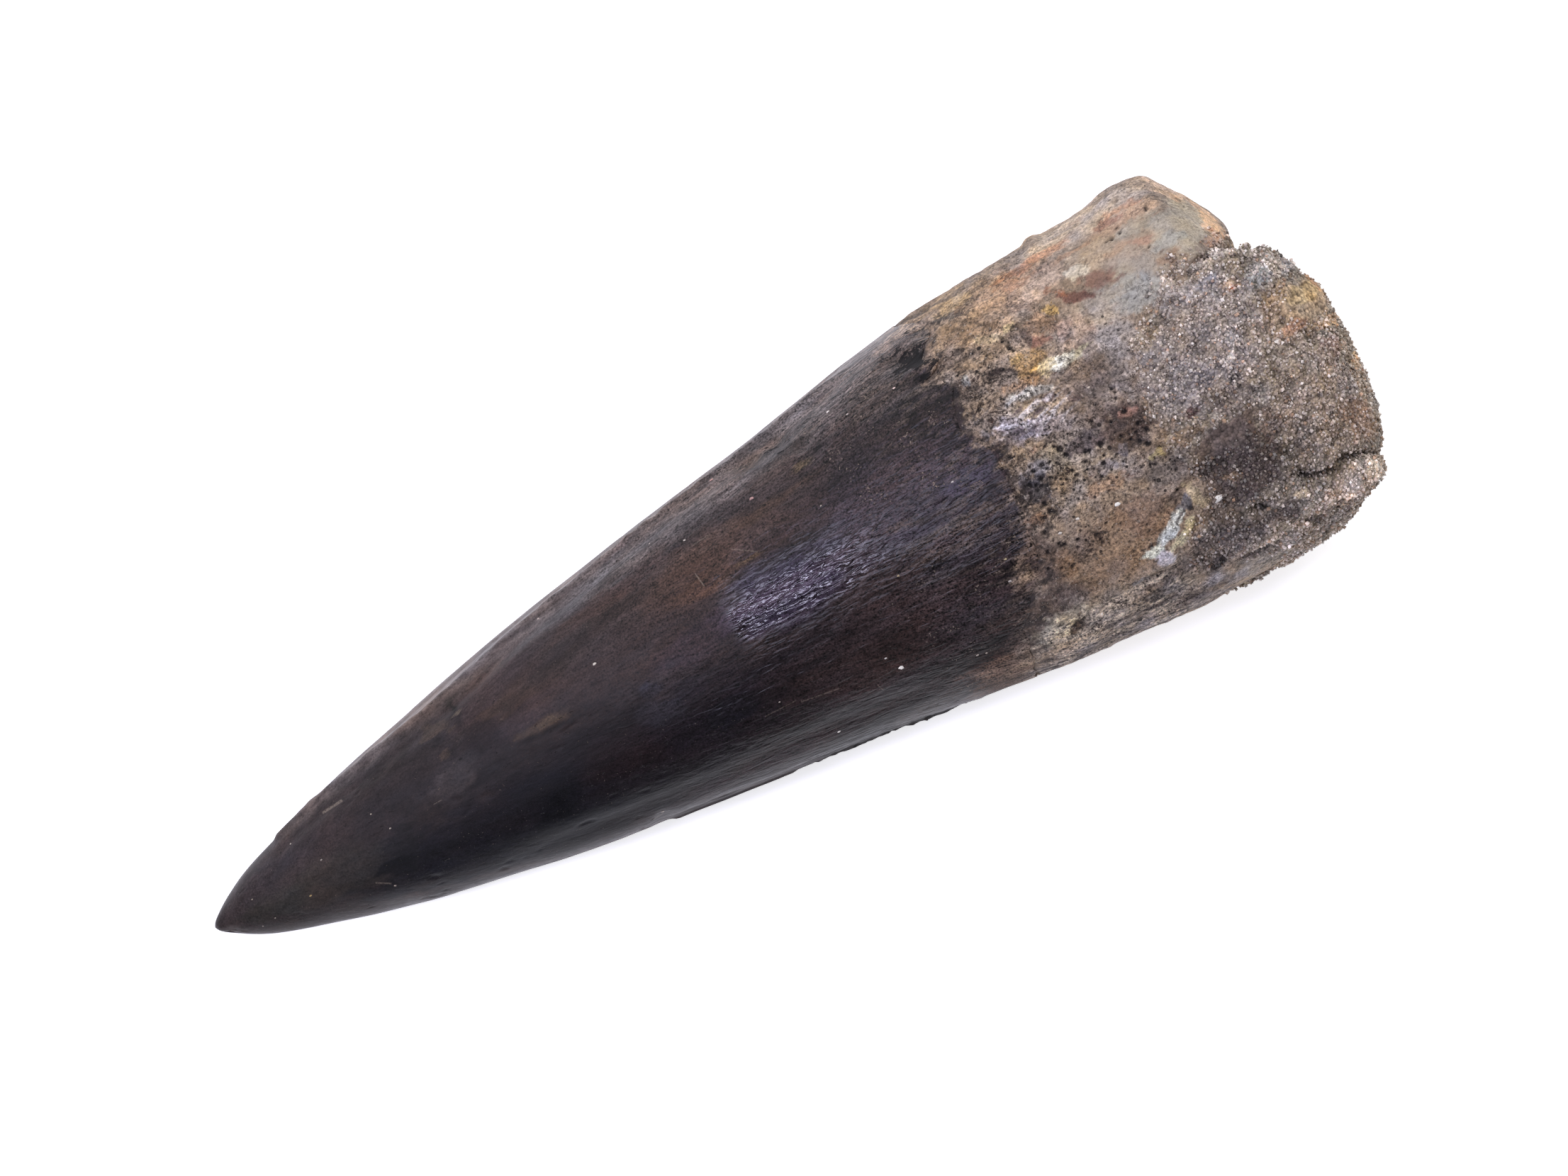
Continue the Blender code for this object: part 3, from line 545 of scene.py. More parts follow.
# Patches of colour: along, across, half length, half breadth, turn, colour, strength.
crownPaint = {
    "base": "3b302f",
    "gain": 0.60,  # how bright the whole is
    "wander": [((2.4, 1.2, 1.2), 0.45, 31), ((2.8, 1.0, 1.0), 0.34, 32)],  # size, how far, seed
    "ragged": [(0.24, (2.2, 0.7, 0.7), 4, 33)],  # noises: how strong, size, octaves, seed
    "grain": [(0.17, (10.0, 0.8, 0.8), 3, 34), (0.10, (2.6, 1.3, 1.3), 3, 37),
              (0.12, (11.0, 1.9, 1.9), 2, 38)],
    "warm": [(0.7, (8.0, 1.6, 1.6), 3, 41)],
    # painted sheen, as pale streaks under the +Y cutting edge and on the +Y rim: colour, strength, size,
    # seed, most
    "sheenStreaks": [("aa9a97", 0.36, 9.0, 49, 0.9), ("a09089", 0.32, 10.0, 50, 0.8)],
    "above": [
        (36, -7, 40, 4.2, -9, "4b4142", 0.55), (20, -1.5, 9, 3.2, -6, "2c2628", 0.75),
        (46, -3, 14, 4.5, -4, "463937", 0.5), (29, -5, 4.5, 3.2, -8, "48393a", 0.6),
        (48, -6, 5.5, 2, -5, "5c453a", 0.5), (55, -7.6, 5, 0.5, -4, "5c4638", 0.7),
        (53, -5, 6, 0.45, -3, "33282a", 0.7), (59, -8.4, 4, 0.4, -5, "2e2627", 0.7),
        (40, -7.4, 5, 0.6, -8, "5a4540", 0.6), (36, -5.6, 6, 0.5, -7, "342a2b", 0.6),
        (31, -4.2, 5, 0.9, -6, "4d3f3a", 0.6), (58, -6.5, 9, 2, -4, "45393a", 0.5),
        (65, -9.2, 3, 0.5, -3, "332b2c", 0.7), (66, -10.2, 2.6, 0.6, 3, "5a4e4a", 0.6),
        # the purple-grey patch at 64 along is painted sheen to the right of the highlight
        (65, -6.4, 6, 0.9, -2, "272224", 0.8), (64, -3, 7.5, 4.2, 0, "483d44", 0.7),
        # the near-black patches at 20, 33 and 47 along on the -Y half are the enamel's dark colour and partly
        # painted shade
        (44, -1, 4, 1.3, 0, "46393f", 0.6), (20, 3.8, 8.5, 2, 7, "1e1c24", 0.95),
        (33, 4.6, 17, 3.4, 3, "1d1920", 0.95), (47, 5.4, 14, 3.6, 4, "231b20", 0.9),
        (58, 6.2, 9, 3.6, 4, "413332", 0.85), (66, 5.6, 4.8, 4.4, 0, "45393b", 0.8),
        (66.3, 9.6, 3.2, 1.8, 0, "54443f", 0.6), (66.4, 1.8, 3.6, 1.2, 3, "5f5458", 0.6),
        (35, 3.6, 4, 2, 0, "281b1e", 0.6), (28.5, 4, 3, 1.8, 0, "14131a", 0.7),
        (44, 5, 2.4, 1.1, 0, "131219", 0.6), (31, 0.4, 9, 1.7, 3, "211c1e", 0.6),
        (39, 2.4, 1.6, 0.9, 20, "332f35", 0.6), (39.4, 0.7, 0.9, 0.9, 0, "3a363f", 0.5),
        (9.5, 1.2, 5.8, 2.2, 10, "3f3a34", 0.55), (16.4, 2, 1.1, 1.9, 20, "201d20", 0.7),
        (15.2, 2.9, 1.6, 0.6, 12, "100f16", 0.9), (19.6, 3.4, 2.4, 0.6, 8, "16141b", 0.75),
        (28.2, 5.5, 1.7, 1.1, 6, "0c0b12", 0.9), (24.9, -4.4, 0.3, 1.6, 6, "2a2426", 0.6),
        (26, -2.6, 1.8, 1, 30, "2b2325", 0.6), (5, 1, 3.4, 1.1, 6, "3a3630", 0.6),
        (8, -1.5, 5, 1.4, -12, "43383a", 0.6), (22.6, -1, 2.3, 1.2, -20, "4a4140", 0.7),
        (23, -4.9, 1.5, 0.5, -8, "5a4a3e", 0.5), (22.6, -3.2, 0.5, 0.4, 0, "5c4c42", 0.6),
        (25, -6, 0.3, 0.6, 6, "15110f", 0.9), (24.8, -5.2, 0.4, 0.2, 0, "8a7a68", 0.7),
        (30.7, -1.15, 2.4, 0.45, 4, "5e4b3d", 0.5), (31.2, -1.2, 1.3, 0.22, 4, "7a6550", 0.35),
        (30.9, -0.6, 2.6, 0.2, 4, "1d1614", 0.7), (28.6, -3.8, 2.2, 0.7, 0, "4f3e36", 0.5),
        (50.8, -4.8, 0.9, 0.25, 8, "7c6348", 0.5), (47, -4.6, 3, 0.8, 0, "5d4538", 0.45),
        (43, -10.5, 1.1, 0.3, -8, "8a7370", 0.6), (26.5, -8.2, 0.6, 0.35, 0, "221a1a", 0.8),
        # the dark streaks at 19 and 30 along near the -Y edge are partly painted shade
        (19, 5.3, 9, 0.8, 11, "201f26", 0.7), (30, 7.4, 9, 1.4, 8, "1b1b22", 0.8),
        (46, 8.8, 12, 0.6, 4, "2c2727", 0.6), (46, 9.9, 7, 0.5, 4, "33262a", 0.6),
        (62, 10.1, 4.5, 0.6, 0, "1c1615", 0.7), (54, 11.9, 7, 0.9, 7, "171314", 0.85),
        (64.4, 12.3, 2.6, 1, 6, "8a7465", 0.7), (63, 13.2, 2.6, 0.8, 0, "846f62", 0.6),
        (62.2, 11.4, 2, 0.4, 5, "75625a", 0.6), (66.2, 11.6, 1.6, 1.2, 0, "5c4c44", 0.7),
        (69.8, -14.4, 1.3, 0.32, 3, "c9b39c", 0.8), (68.2, -14, 1.6, 0.25, 3, "8b796c", 0.7),
        (70.3, -11.3, 1, 0.32, 12, "8a7666", 0.8), (68.4, -9.7, 1.6, 0.28, 4, "75655a", 0.8),
        (66.4, -11.2, 1.8, 0.3, 5, "66574f", 0.7), (67.9, -11, 1, 0.22, -6, "141215", 0.85),
        (69.6, -8.4, 1.5, 0.35, 5, "1b181a", 0.8), (66, -13.2, 2.2, 0.3, 3, "1f1b1c", 0.75),
        # the lilac patch at 52.3 along is a painted highlight tint over the polished stretch
        (57.5, 12.2, 3, 0.7, 6, "4c3f38", 0.6), (52.3, -1.2, 5, 2.4, 0, "4d4359", 0.55),
        (58, -9.3, 0.9, 0.4, 0, "6e5f45", 0.5), (54.3, -11.2, 1.8, 0.42, 14, "141212", 0.95),
        (57.1, -11.7, 0.9, 0.35, 10, "141212", 0.95), (58.2, -10.4, 0.5, 0.3, -20, "1c2227", 0.95),
        (59.4, -9.8, 0.35, 0.22, 0, "141010", 0.9), (68.9, -12.4, 1.5, 0.5, 10, "16161b", 0.95),
        (70.1, -10.5, 1.7, 0.32, 12, "131114", 0.95), (71, -13.5, 0.9, 0.5, 0, "16161c", 0.9),
        (65, 2.2, 4.2, 0.5, 4, "5d534f", 0.5), (64.8, 0.7, 4, 0.5, 3, "5c5047", 0.6),
        (63.2, -1, 2.2, 0.35, 4, "58493f", 0.55), (63, 2.7, 1.1, 0.35, 6, "231c1e", 0.7),
        (68.3, -1.9, 1.8, 0.9, 0, "554a5c", 0.5), (66.5, 0.6, 3, 0.3, 5, "5f5652", 0.5),
        (63.5, 3.6, 2.6, 0.3, 5, "544a46", 0.5), (68.5, 8.8, 2.4, 1.8, 0, "50433c", 0.5),
    ],
    "wall": [],
    # cutting edges, pale where worn and partly painted highlight, and the dark grit of the -Y edge: course,
    # half breadth, start, end, colour, strength
    "edges": [
        (carinae[0][0], 0.20, 8, 60, "8d8583", 0.55), (carinae[1][0], 0.16, 37, 48.5, "7d7674", 0.5),
        (carinae[1][0], 0.75, 47, 62, "0d0b0b", 0.8),
    ],
    "below": [
        (36, 3, 34, 8, 0, "2e2627", 0.6), (24, -2, 9, 3, 0, "463b39", 0.6),
        (50, -6, 7, 2.4, -8, "5a4638", 0.6), (46, 4, 6, 2.4, 5, "1d1a1f", 0.7),
        (60, 1, 7, 3.5, 0, "46393a", 0.6), (66, 7, 3, 1.8, 20, "6b5546", 0.8),
        (33, 2, 3, 1.3, 12, "5c4a40", 0.6), (52, -6, 3.6, 1.3, -10, "5e4d40", 0.55),
        (10, 0, 6, 2, 0, "4a3f3b", 0.5), (68, -5, 3, 3.5, 0, "4a3d38", 0.6),
    ],
}

rootPaint = {
    "base": "8f7d70",
    "gain": 1.28,
    "wander": [(1.5, 0.30, 61), (1.4, 0.26, 63)],
    "ragged": [(0.22, 1.0, 3, 65), (0.22, 0.34, 2, 68)],
    "grain": [(0.13, (2.4, 0.9, 0.9), 3, 66), (0.15, 0.6, 2, 69)],
    "warm": [(1.0, 1.6, 3, 71)],
    "edge": [(0.75, (2.6, 1.7, 1.7), 3, 75), (0.55, (0.9, 0.45, 0.45), 3, 79)],  # of the enamel
    "above": [
        (73.5, -13, 4.2, 2.4, 0, "a08874", 0.85), (78.6, -13, 3.6, 1.8, 0, "aa8d79", 0.8),
        (86, -14.9, 5, 1, 0, "c0aea2", 0.85), (88.6, -13.7, 3, 0.8, 0, "b79a88", 0.85),
        (85.4, -12.5, 2.8, 1.1, 3, "b8a28e", 0.85), (89, -11.4, 3.2, 1.5, 0, "ae9a8a", 0.9),
        (92.2, -11, 2.2, 2.2, 0, "ada194", 0.9), (87.8, -9.4, 2.4, 1.2, 6, "a89a8d", 0.85),
        (85.8, -8.2, 2.9, 1.5, 8, "a19d9b", 0.92), (83.3, -6.6, 1.9, 2.6, 0, "a79991", 0.9),
        (82.5, -3.2, 0.9, 1.8, 0, "968880", 0.85), (71.3, -5.6, 1.5, 4.2, 0, "857468", 0.8),
        (73.6, -8.2, 2, 1.7, 0, "857366", 0.85), (75.6, -11.4, 2.2, 1.1, 12, "a38a77", 0.8),
        (80.6, -14.2, 3.4, 0.35, -3, "b07a5c", 0.6), (79.6, -13.3, 2.2, 0.25, 4, "b08062", 0.5),
        (83.5, -13.4, 2, 0.22, -4, "b18568", 0.5), (88.9, -14.6, 1.6, 0.2, 3, "b5805f", 0.5),
        (87.6, -14.1, 1, 0.3, 0, "8c5f50", 0.6), (93.3, -13.2, 0.5, 0.25, 45, "9a604a", 0.7),
        (88.9, -11.6, 0.9, 0.3, 15, "b58a78", 0.6), (87.2, -11.9, 1.1, 0.3, -6, "b39076", 0.5),
        (90.2, -9.3, 0.9, 0.4, 8, "967a66", 0.75), (90.6, -10.4, 1.4, 0.5, 0, "a3a09c", 0.7),
        (89.4, -12.9, 2.2, 0.5, -5, "a9a29a", 0.6), (84, -9.2, 1.8, 0.5, 6, "a8998c", 0.6),
        (81, -12.3, 2, 1, 0, "c6aa96", 0.85), (81.2, -7.7, 1.5, 1.2, 0, "b8a093", 0.85),
        (81.4, -5.7, 1.1, 0.8, 0, "ae9d96", 0.8), (83.6, -12, 1.1, 0.6, 0, "d3c6b8", 0.85),
        (74.1, -14.3, 1.6, 0.6, 0, "a68f76", 0.8), (73.2, -13.6, 1, 0.2, 12, "6b6460", 0.7),
        (70.3, -14.5, 1.5, 0.35, 4, "b59e8f", 0.75), (72.6, -15.1, 3, 0.25, 0, "574c48", 0.6),
        (72.6, -12.6, 0.9, 0.5, 20, "9c8268", 0.7), (75.3, -10.5, 1.2, 0.45, 25, "b3a18b", 0.85),
        (76.9, -10.4, 0.5, 0.35, 0, "b5a384", 0.8), (76.1, -9.5, 0.5, 0.5, 0, "5f544b", 0.85),
        (74.7, -9.6, 1, 0.5, 20, "7a695c", 0.7), (80.2, -10.2, 0.62, 0.42, 0, "c2a069", 0.9),
        (82.4, -10.3, 1.6, 0.38, 22, "6e4a42", 0.9), (81.3, -11.3, 0.8, 0.25, 40, "a06c52", 0.7),
        (84.6, -10.7, 1.2, 0.55, 14, "83645a", 0.85), (85.6, -10, 0.7, 0.15, 30, "6e5048", 0.7),
        # the thin dark arc at 77.8 along is a painted shadow under the knob
        (79.1, -9.6, 0.9, 0.7, 10, "a38673", 0.85), (77.8, -9.3, 0.35, 0.95, -12, "5c4d47", 0.85),
        (78.6, -8.4, 1, 0.3, 0, "8d6357", 0.7), (80.3, -8.6, 0.6, 0.5, 0, "a98b7b", 0.7),
        (76.7, -7.5, 1.3, 1.1, 12, "a8875f", 0.8), (76, -8.4, 0.5, 0.4, 0, "b0946a", 0.6),
        (77.2, -6.9, 0.7, 0.35, 20, "c49c5e", 0.7), (78, -6.5, 1, 0.42, 16, "d3bf9c", 0.95),
        (79.5, -6.15, 1.3, 0.42, 4, "e6dccb", 0.97), (80.7, -6.3, 0.8, 0.2, -14, "dccdae", 0.9),
        (74.7, -7.8, 0.8, 0.22, 28, "3d302d", 0.85), (71.4, -8.9, 1.6, 0.5, 4, "a19186", 0.85),
        (72, -8.5, 0.35, 0.3, 0, "a9a9ad", 0.8), (75.6, -6.3, 1.4, 0.4, 8, "a5846c", 0.75),
        (76, -5.35, 1.7, 0.42, 4, "c3bdba", 0.95), (75.5, -4.1, 2.6, 0.7, 6, "cdb8a4", 0.92),
        (73, -3.3, 1.4, 1.25, 0, "9c8f93", 0.9), (75.4, -2.9, 1.4, 0.6, 5, "9f9093", 0.9),
        # the thin pale and dark streaks across the wrinkled patch are painted highlight on fold crests and
        # painted shade between them
        (73.4, -3.9, 1.2, 0.16, 20, "c9bfc4", 0.8), (73, -2.9, 1.3, 0.16, 24, "c2b8c6", 0.8),
        (74.2, -2.5, 1.4, 0.14, 16, "bdb2c0", 0.7), (75.7, -3.3, 1.2, 0.14, 18, "c7bac4", 0.7),
        (73.9, -3.4, 1.2, 0.12, 20, "4e4048", 0.7), (75.2, -2.5, 1.2, 0.12, 16, "554850", 0.6),
        (77.4, -3.7, 1.2, 0.7, 10, "c2a890", 0.85), (77, -2.2, 1.3, 0.6, 0, "9f8e88", 0.7),
        (76.7, -4.45, 0.8, 0.28, 0, "6a5558", 0.85), (78.6, -3.4, 0.6, 0.4, 0, "5f4d4c", 0.8),
        (80, -4.4, 1.9, 1.25, 0, "8c7b73", 0.9), (73.8, -1.4, 0.5, 0.35, 0, "8f6453", 0.8),
        (75, -1.4, 2, 0.5, 0, "8a786a", 0.7), (76.6, 1.4, 3.9, 2.6, 0, "94867c", 0.85),
        (77.6, -0.1, 1.7, 0.8, 0, "564b4b", 0.85), (79.6, -1.4, 1.2, 0.8, 0, "7c6a61", 0.7),
        (74.6, -0.6, 1.2, 0.5, 0, "9a8c7c", 0.7), (77.8, 2.4, 1.5, 0.5, 0, "908688", 0.85),
        (72.6, 1.3, 1.2, 1.3, 0, "413f48", 0.9), (73.3, -0.1, 1.1, 0.5, 0, "8d8382", 0.7),
        (74.4, 2.2, 0.9, 0.8, 0, "8d7866", 0.7), (75.2, 0.5, 0.6, 1.2, 0, "97897b", 0.6),
        (71.3, 3.3, 0.9, 0.4, 0, "8a6a55", 0.8), (77.3, 3.7, 1.6, 0.5, 0, "8d7362", 0.8),
        (81, 0.5, 2.2, 1.7, 0, "50423f", 0.92), (80.4, 1.8, 1.4, 0.7, 0, "4e4442", 0.8),
        (81.6, -0.3, 0.7, 0.35, 0, "ad8478", 0.9), (78.9, 0.3, 0.8, 0.6, 0, "6d5c58", 0.7),
        (80, 1.9, 0.5, 0.5, 0, "6b6570", 0.7), (82.5, 4.5, 1.9, 1.6, 0, "77695f", 0.85),
        (82, 3.4, 0.5, 0.3, 0, "9a8a5f", 0.6), (76, 8.3, 5.4, 2.6, 0, "8a7361", 0.9),
        (75.5, 9.3, 3.2, 0.9, 3, "8f7560", 0.6), (78.8, 6.6, 2.4, 1.2, 0, "7e6556", 0.6),
        (79.5, 8, 1.6, 0.8, 0, "866957", 0.5), (73.6, 6.9, 2.2, 0.7, -8, "6f5c50", 0.6),
        (71.2, 7.2, 1.2, 1.2, 0, "806551", 0.6), (82, 7.7, 0.85, 0.5, -48, "5c5a63", 0.95),
        (82.3, 8.2, 0.32, 0.3, -40, "1b171c", 0.9), (80.2, 9, 1.45, 0.48, -26, "c6c7c8", 0.97),
        (80.9, 9.75, 1.45, 0.42, -24, "d6caae", 0.97), (78.5, 9.8, 0.9, 0.38, -6, "cfcfc6", 0.97),
        (79.1, 10.7, 0.7, 0.65, 20, "b9b0b6", 0.95), (83.1, 7.7, 0.55, 1.3, -10, "b2a088", 0.95),
        # the thin near-black lines at 78.15 and 81.2 along are painted shadow under the top edge of the
        # slanted patch
        (78.15, 9.35, 0.4, 0.1, -8, "141112", 0.95), (81.2, 8.6, 0.5, 0.1, -30, "2a2224", 0.9),
        (70.4, 5.6, 1.3, 2.6, 0, "5c4c45", 0.75), (69.2, 9.6, 3, 1, 0, "574842", 0.85),
        (66.9, 10.6, 1.8, 0.9, 0, "4d4340", 0.85), (73, 12.2, 6.4, 1.5, 2, "85776c", 0.9),
        (69.3, 11.5, 2.7, 0.8, -4, "c4b6a2", 0.85), (68.4, 12, 0.8, 0.35, 0, "b0a18f", 0.8),
        (72.6, 12.3, 2, 0.24, 4, "a99b8c", 0.8), (73.8, 11.6, 1.4, 0.16, 8, "a5968a", 0.7),
        (71, 13, 3.4, 0.2, 3, "a39182", 0.7), (70.4, 11.95, 1, 0.28, -24, "4c3c30", 0.9),
        (76.2, 11.3, 0.75, 0.18, 4, "9a959a", 0.8), (76.6, 12.2, 2.4, 0.22, 3, "8f8075", 0.7),
        (80.6, 12.5, 3.4, 1.1, 2, "665b56", 0.85), (82.2, 13.1, 0.95, 0.2, -28, "171313", 0.95),
        (84.6, 11.2, 2, 1.2, 0, "5d5350", 0.85), (76, 14.3, 11, 0.85, 1, "7d7270", 0.9),
        (86, 14.6, 4, 0.8, 4, "7f7673", 0.9), (86, 13.9, 2.6, 0.16, 8, "2b2422", 0.8),
    ],
    "wall": [
        (93.2, -14.2, 2.3, 0.9, 50, "ccae9a", 0.85), (94.8, -10.8, 0.85, 2, 6, "cfac92", 0.9),
        (94.2, -8.8, 0.9, 0.4, 0, "c29a84", 0.7),
    ],
    "below": [
        (76, 0, 8, 12, 0, "8a7768", 0.5), (74, -8, 4, 3, 0, "a08c7c", 0.7),
        (79, 6, 4, 3, 0, "7c685a", 0.7), (82, -9, 5, 3, 0, "a89a90", 0.7),
        (72, 3, 2.4, 3, 0, "62544d", 0.7), (77, -3, 1.6, 0.8, 0, "b0925f", 0.7),
        (75, 9, 3, 1.4, 10, "a8988a", 0.6), (88, 4, 6, 5, 0, "6f6259", 0.8),
        (92, -5, 4, 4, 0, "8c8078", 0.8), (94, 6, 3, 4, 0, "84705f", 0.7),
    ],
}

crustPaint = {
    "base": "84796f",
    "gain": 1.75,
    "wander": [(1.5, 0.35, 61), (1.4, 0.30, 63)],
    "ragged": [(0.26, 1.0, 4, 65)],
    "grain": [(0.10, 1.4, 4, 66)],
    "warm": [(1.0, 1.6, 3, 71)],
    "above": [
        (91, -3.5, 4.8, 4.6, 0, "948985", 0.9), (86.5, -1.5, 3.6, 3.8, 0, "8b807c", 0.9),
        (90, 0.6, 3.2, 1.4, 0, "8a807f", 0.8), (91.5, -8, 3.8, 0.9, -4, "a89c94", 0.85),
        (85.3, -5, 1.3, 1, 0, "988878", 0.8), (91.6, -6.3, 1, 0.6, 0, "8f8a90", 0.85),
        (93.4, -5.3, 1, 0.6, 10, "b79c88", 0.85), (93.1, -5, 0.28, 0.2, 0, "8c5138", 0.9),
        (90.6, -0.4, 0.6, 0.35, 0, "c9c3be", 0.6), (96.8, -4.9, 2.2, 0.75, 12, "a09999", 0.85),
        (95.4, -4.8, 0.9, 0.6, 0, "9c9b9d", 0.7), (96.6, -1.2, 3.2, 2.3, 0, "998475", 0.85),
        (97, -1.3, 2.8, 2.1, 0, "9d8670", 0.95), (97.9, -2, 1.3, 0.9, 0, "ab9068", 0.6),
        (96.2, -0.2, 1.2, 0.5, 0, "a67d66", 0.8), (99.4, -3.2, 0.5, 1.5, 0, "a5826b", 0.85),
        (98.6, 0.9, 1, 0.5, 0, "b09070", 0.8), (97.8, 2.8, 1, 0.8, 0, "94766d", 0.9),
        (99.2, 4.4, 0.5, 0.9, 0, "c4a988", 0.9), (99.3, 5.6, 0.3, 0.5, 0, "a3573a", 0.85),
        (95, 6, 3.6, 4.6, 0, "928278", 0.9), (94, 3, 1.8, 1.6, 0, "8d8179", 0.8),
        (93.6, 7, 1.2, 1.2, 0, "918783", 0.7), (97, 8.6, 1.2, 2, 0, "94796c", 0.7),
        (85.6, 2, 0.9, 0.4, 0, "553f3d", 0.9), (84.9, 3.4, 1, 0.6, 0, "7a6552", 0.8),
        (89.4, 2.5, 2.2, 1, 0, "6b605d", 0.7), (87.3, 4.8, 3.1, 1.15, -6, "584b47", 0.95),
        (87.7, 8, 3.7, 2.4, -3, "483d3b", 0.95), (85.2, 6.2, 1.5, 1.2, 0, "483d3a", 0.85),
        (88.8, 12.1, 1.8, 0.7, 0, "483e3c", 0.8), (90.8, 5.4, 0.8, 1.4, 20, "5f504a", 0.8),
        (84.4, 9.8, 1.6, 2.2, 0, "564b46", 0.85), (86.2, 7.6, 0.7, 0.25, 25, "8c7664", 0.8),
        (84, 12, 3.4, 1.3, 2, "5f5450", 0.85), (81.2, 11.2, 1.6, 0.9, 0, "5b504b", 0.8),
        (87.4, 10.9, 0.55, 0.4, 10, "0f0c0c", 0.95), (90.7, 11.7, 1.2, 0.36, 8, "a99781", 0.9),
        (94, 12.6, 3, 1.2, 0, "9d8f87", 0.9), (92.4, 11.8, 1.6, 0.5, 0, "8d837d", 0.8),
        (96.5, 12.8, 0.5, 0.9, 10, "aba094", 0.75), (91, 14.3, 3.2, 0.5, -4, "7d726c", 0.85),
        (90, 13.6, 0.7, 0.22, 20, "2a2322", 0.85), (92.4, 13.5, 0.8, 0.16, -10, "3a302d", 0.8),
        (86, 14.8, 3.6, 0.8, 4, "7a716e", 0.85),
    ],
    "wall": [],
    "below": rootPaint["below"][-3:],
}

# Ledges and cracks too fine for the solid: half breadth, depth, points along and across.
rootLines = [
    (0.13, 0.16, [(71.8, -14.1), (72.6, -13.3), (73.9, -13.0), (75.3, -11.6), (76.3, -10.7)]),
    (0.10, 0.10, [(72.7, -12.8), (73.6, -12.2), (73.9, -11.5), (74.5, -10.9)]),
    (0.12, 0.14, [(73.7, -8.3), (74.9, -7.8), (75.9, -7.0), (77.3, -6.2), (78.6, -5.5), (80.9, -6.3)]),
    (0.10, 0.10, [(80.9, -6.2), (81.3, -5.4), (81.8, -4.2), (81.9, -3.1), (81.5, -2.4)]),
    (0.09, 0.08, [(77.9, -8.2), (79.0, -8.0), (80.2, -8.4)]),
    (0.10, 0.10, [(70.0, -9.7), (71.8, -9.3), (73.2, -9.0), (74.0, -8.4)]),
    (0.09, 0.08, [(66.5, -14.5), (69.0, -15.1), (72.0, -15.2), (75.8, -14.9)]),
    (0.09, 0.08, [(71.4, -9.9), (72.4, -10.4), (73.6, -10.2), (74.6, -9.6), (75.6, -9.6)]),
    (0.10, 0.10, [(69.9, -12.0), (71.0, -11.6), (71.9, -10.3), (72.9, -10.1)]),
    (0.10, 0.14, [(69.2, 12.6), (70.0, 12.1), (71.0, 11.7), (71.7, 11.5)]),
    (0.09, 0.08, [(67.0, 11.3), (69.6, 11.2), (71.6, 10.6), (73.4, 10.7)]),
    (0.09, 0.08, [(72.6, 11.2), (75.0, 11.0), (77.5, 11.6), (80.0, 11.5)]),
    (0.12, 0.16, [(81.3, 13.5), (82.0, 13.0), (82.7, 12.7), (83.4, 12.5)]),
    (0.10, 0.12, [(77.9, 9.3), (78.7, 9.3), (79.4, 8.8), (80.4, 8.5), (81.2, 7.8), (82.2, 7.0)]),
    (0.09, 0.10, [(79.6, 11.0), (80.1, 10.2), (81.6, 9.9), (82.5, 9.2), (83.4, 9.1)]),
    (0.09, 0.10, [(83.4, 14.0), (84.8, 13.8), (86.4, 14.2), (88.4, 14.3)]),
]

# Pale specks stuck on the tooth: along, across, half size, colour
specks = [
    (3.8, -0.25, 0.14, "8f8372"), (8.05, 1.7, 0.16, "a28a5c"), (4.7, 1.9, 0.12, "8f8678"),
    (3.5, 2.0, 0.12, "8a8176"), (10.2, -0.35, 0.14, "9c9388"), (8.6, -2.6, 0.13, "a0978c"),
    (15.4, -1.6, 0.14, "9a8f82"), (16.2, 0.1, 0.16, "a69c8e"), (14.3, 4.2, 0.16, "9d9184"),
    (36.4, -3.4, 0.24, "cfc7ba"), (34.2, -8.6, 0.14, "b3a59b"), (44.6, -9.5, 0.14, "b8aca4"),
    (47.1, -8.4, 0.15, "c2b8ae"), (51.2, -11.5, 0.2, "b58f86"), (53.2, -8.7, 0.24, "a98580"),
    (61.6, -11.7, 0.2, "d8d0c8"), (62.8, -10.8, 0.14, "b9aea6"), (66.9, -10.8, 0.2, "d9c0b6"),
    (57.6, -5.6, 0.13, "a89e92"), (60.2, 2.0, 0.16, "a39272"), (67.3, -2.3, 0.16, "c9c2bc"),
    (68.0, 4.85, 0.18, "ab9c7a"), (67.5, 6.5, 0.22, "a9a19a"), (56.3, 7.1, 0.16, "cfc9c2"),
    (57.0, 8.3, 0.34, "efe9df"), (50.4, 10.35, 0.2, "e2dcd2"), (35.4, 9.2, 0.2, "b6aca0"),
    (47.5, 6.1, 0.13, "a59a90"), (62.6, 10.3, 0.16, "bfb3a6"), (63.3, 10.5, 0.14, "b5a798"),
    (77.5, 5.3, 0.24, "e8e4da"), (74.3, 4.8, 0.16, "d8d0c4"), (72.6, 5.1, 0.16, "cfc6ba"),
    (84.5, 8.7, 0.42, "e9e5da"), (94.3, 0.3, 0.26, "e6e0d6"), (79.9, -3.6, 0.15, "c6b8a8"),
]

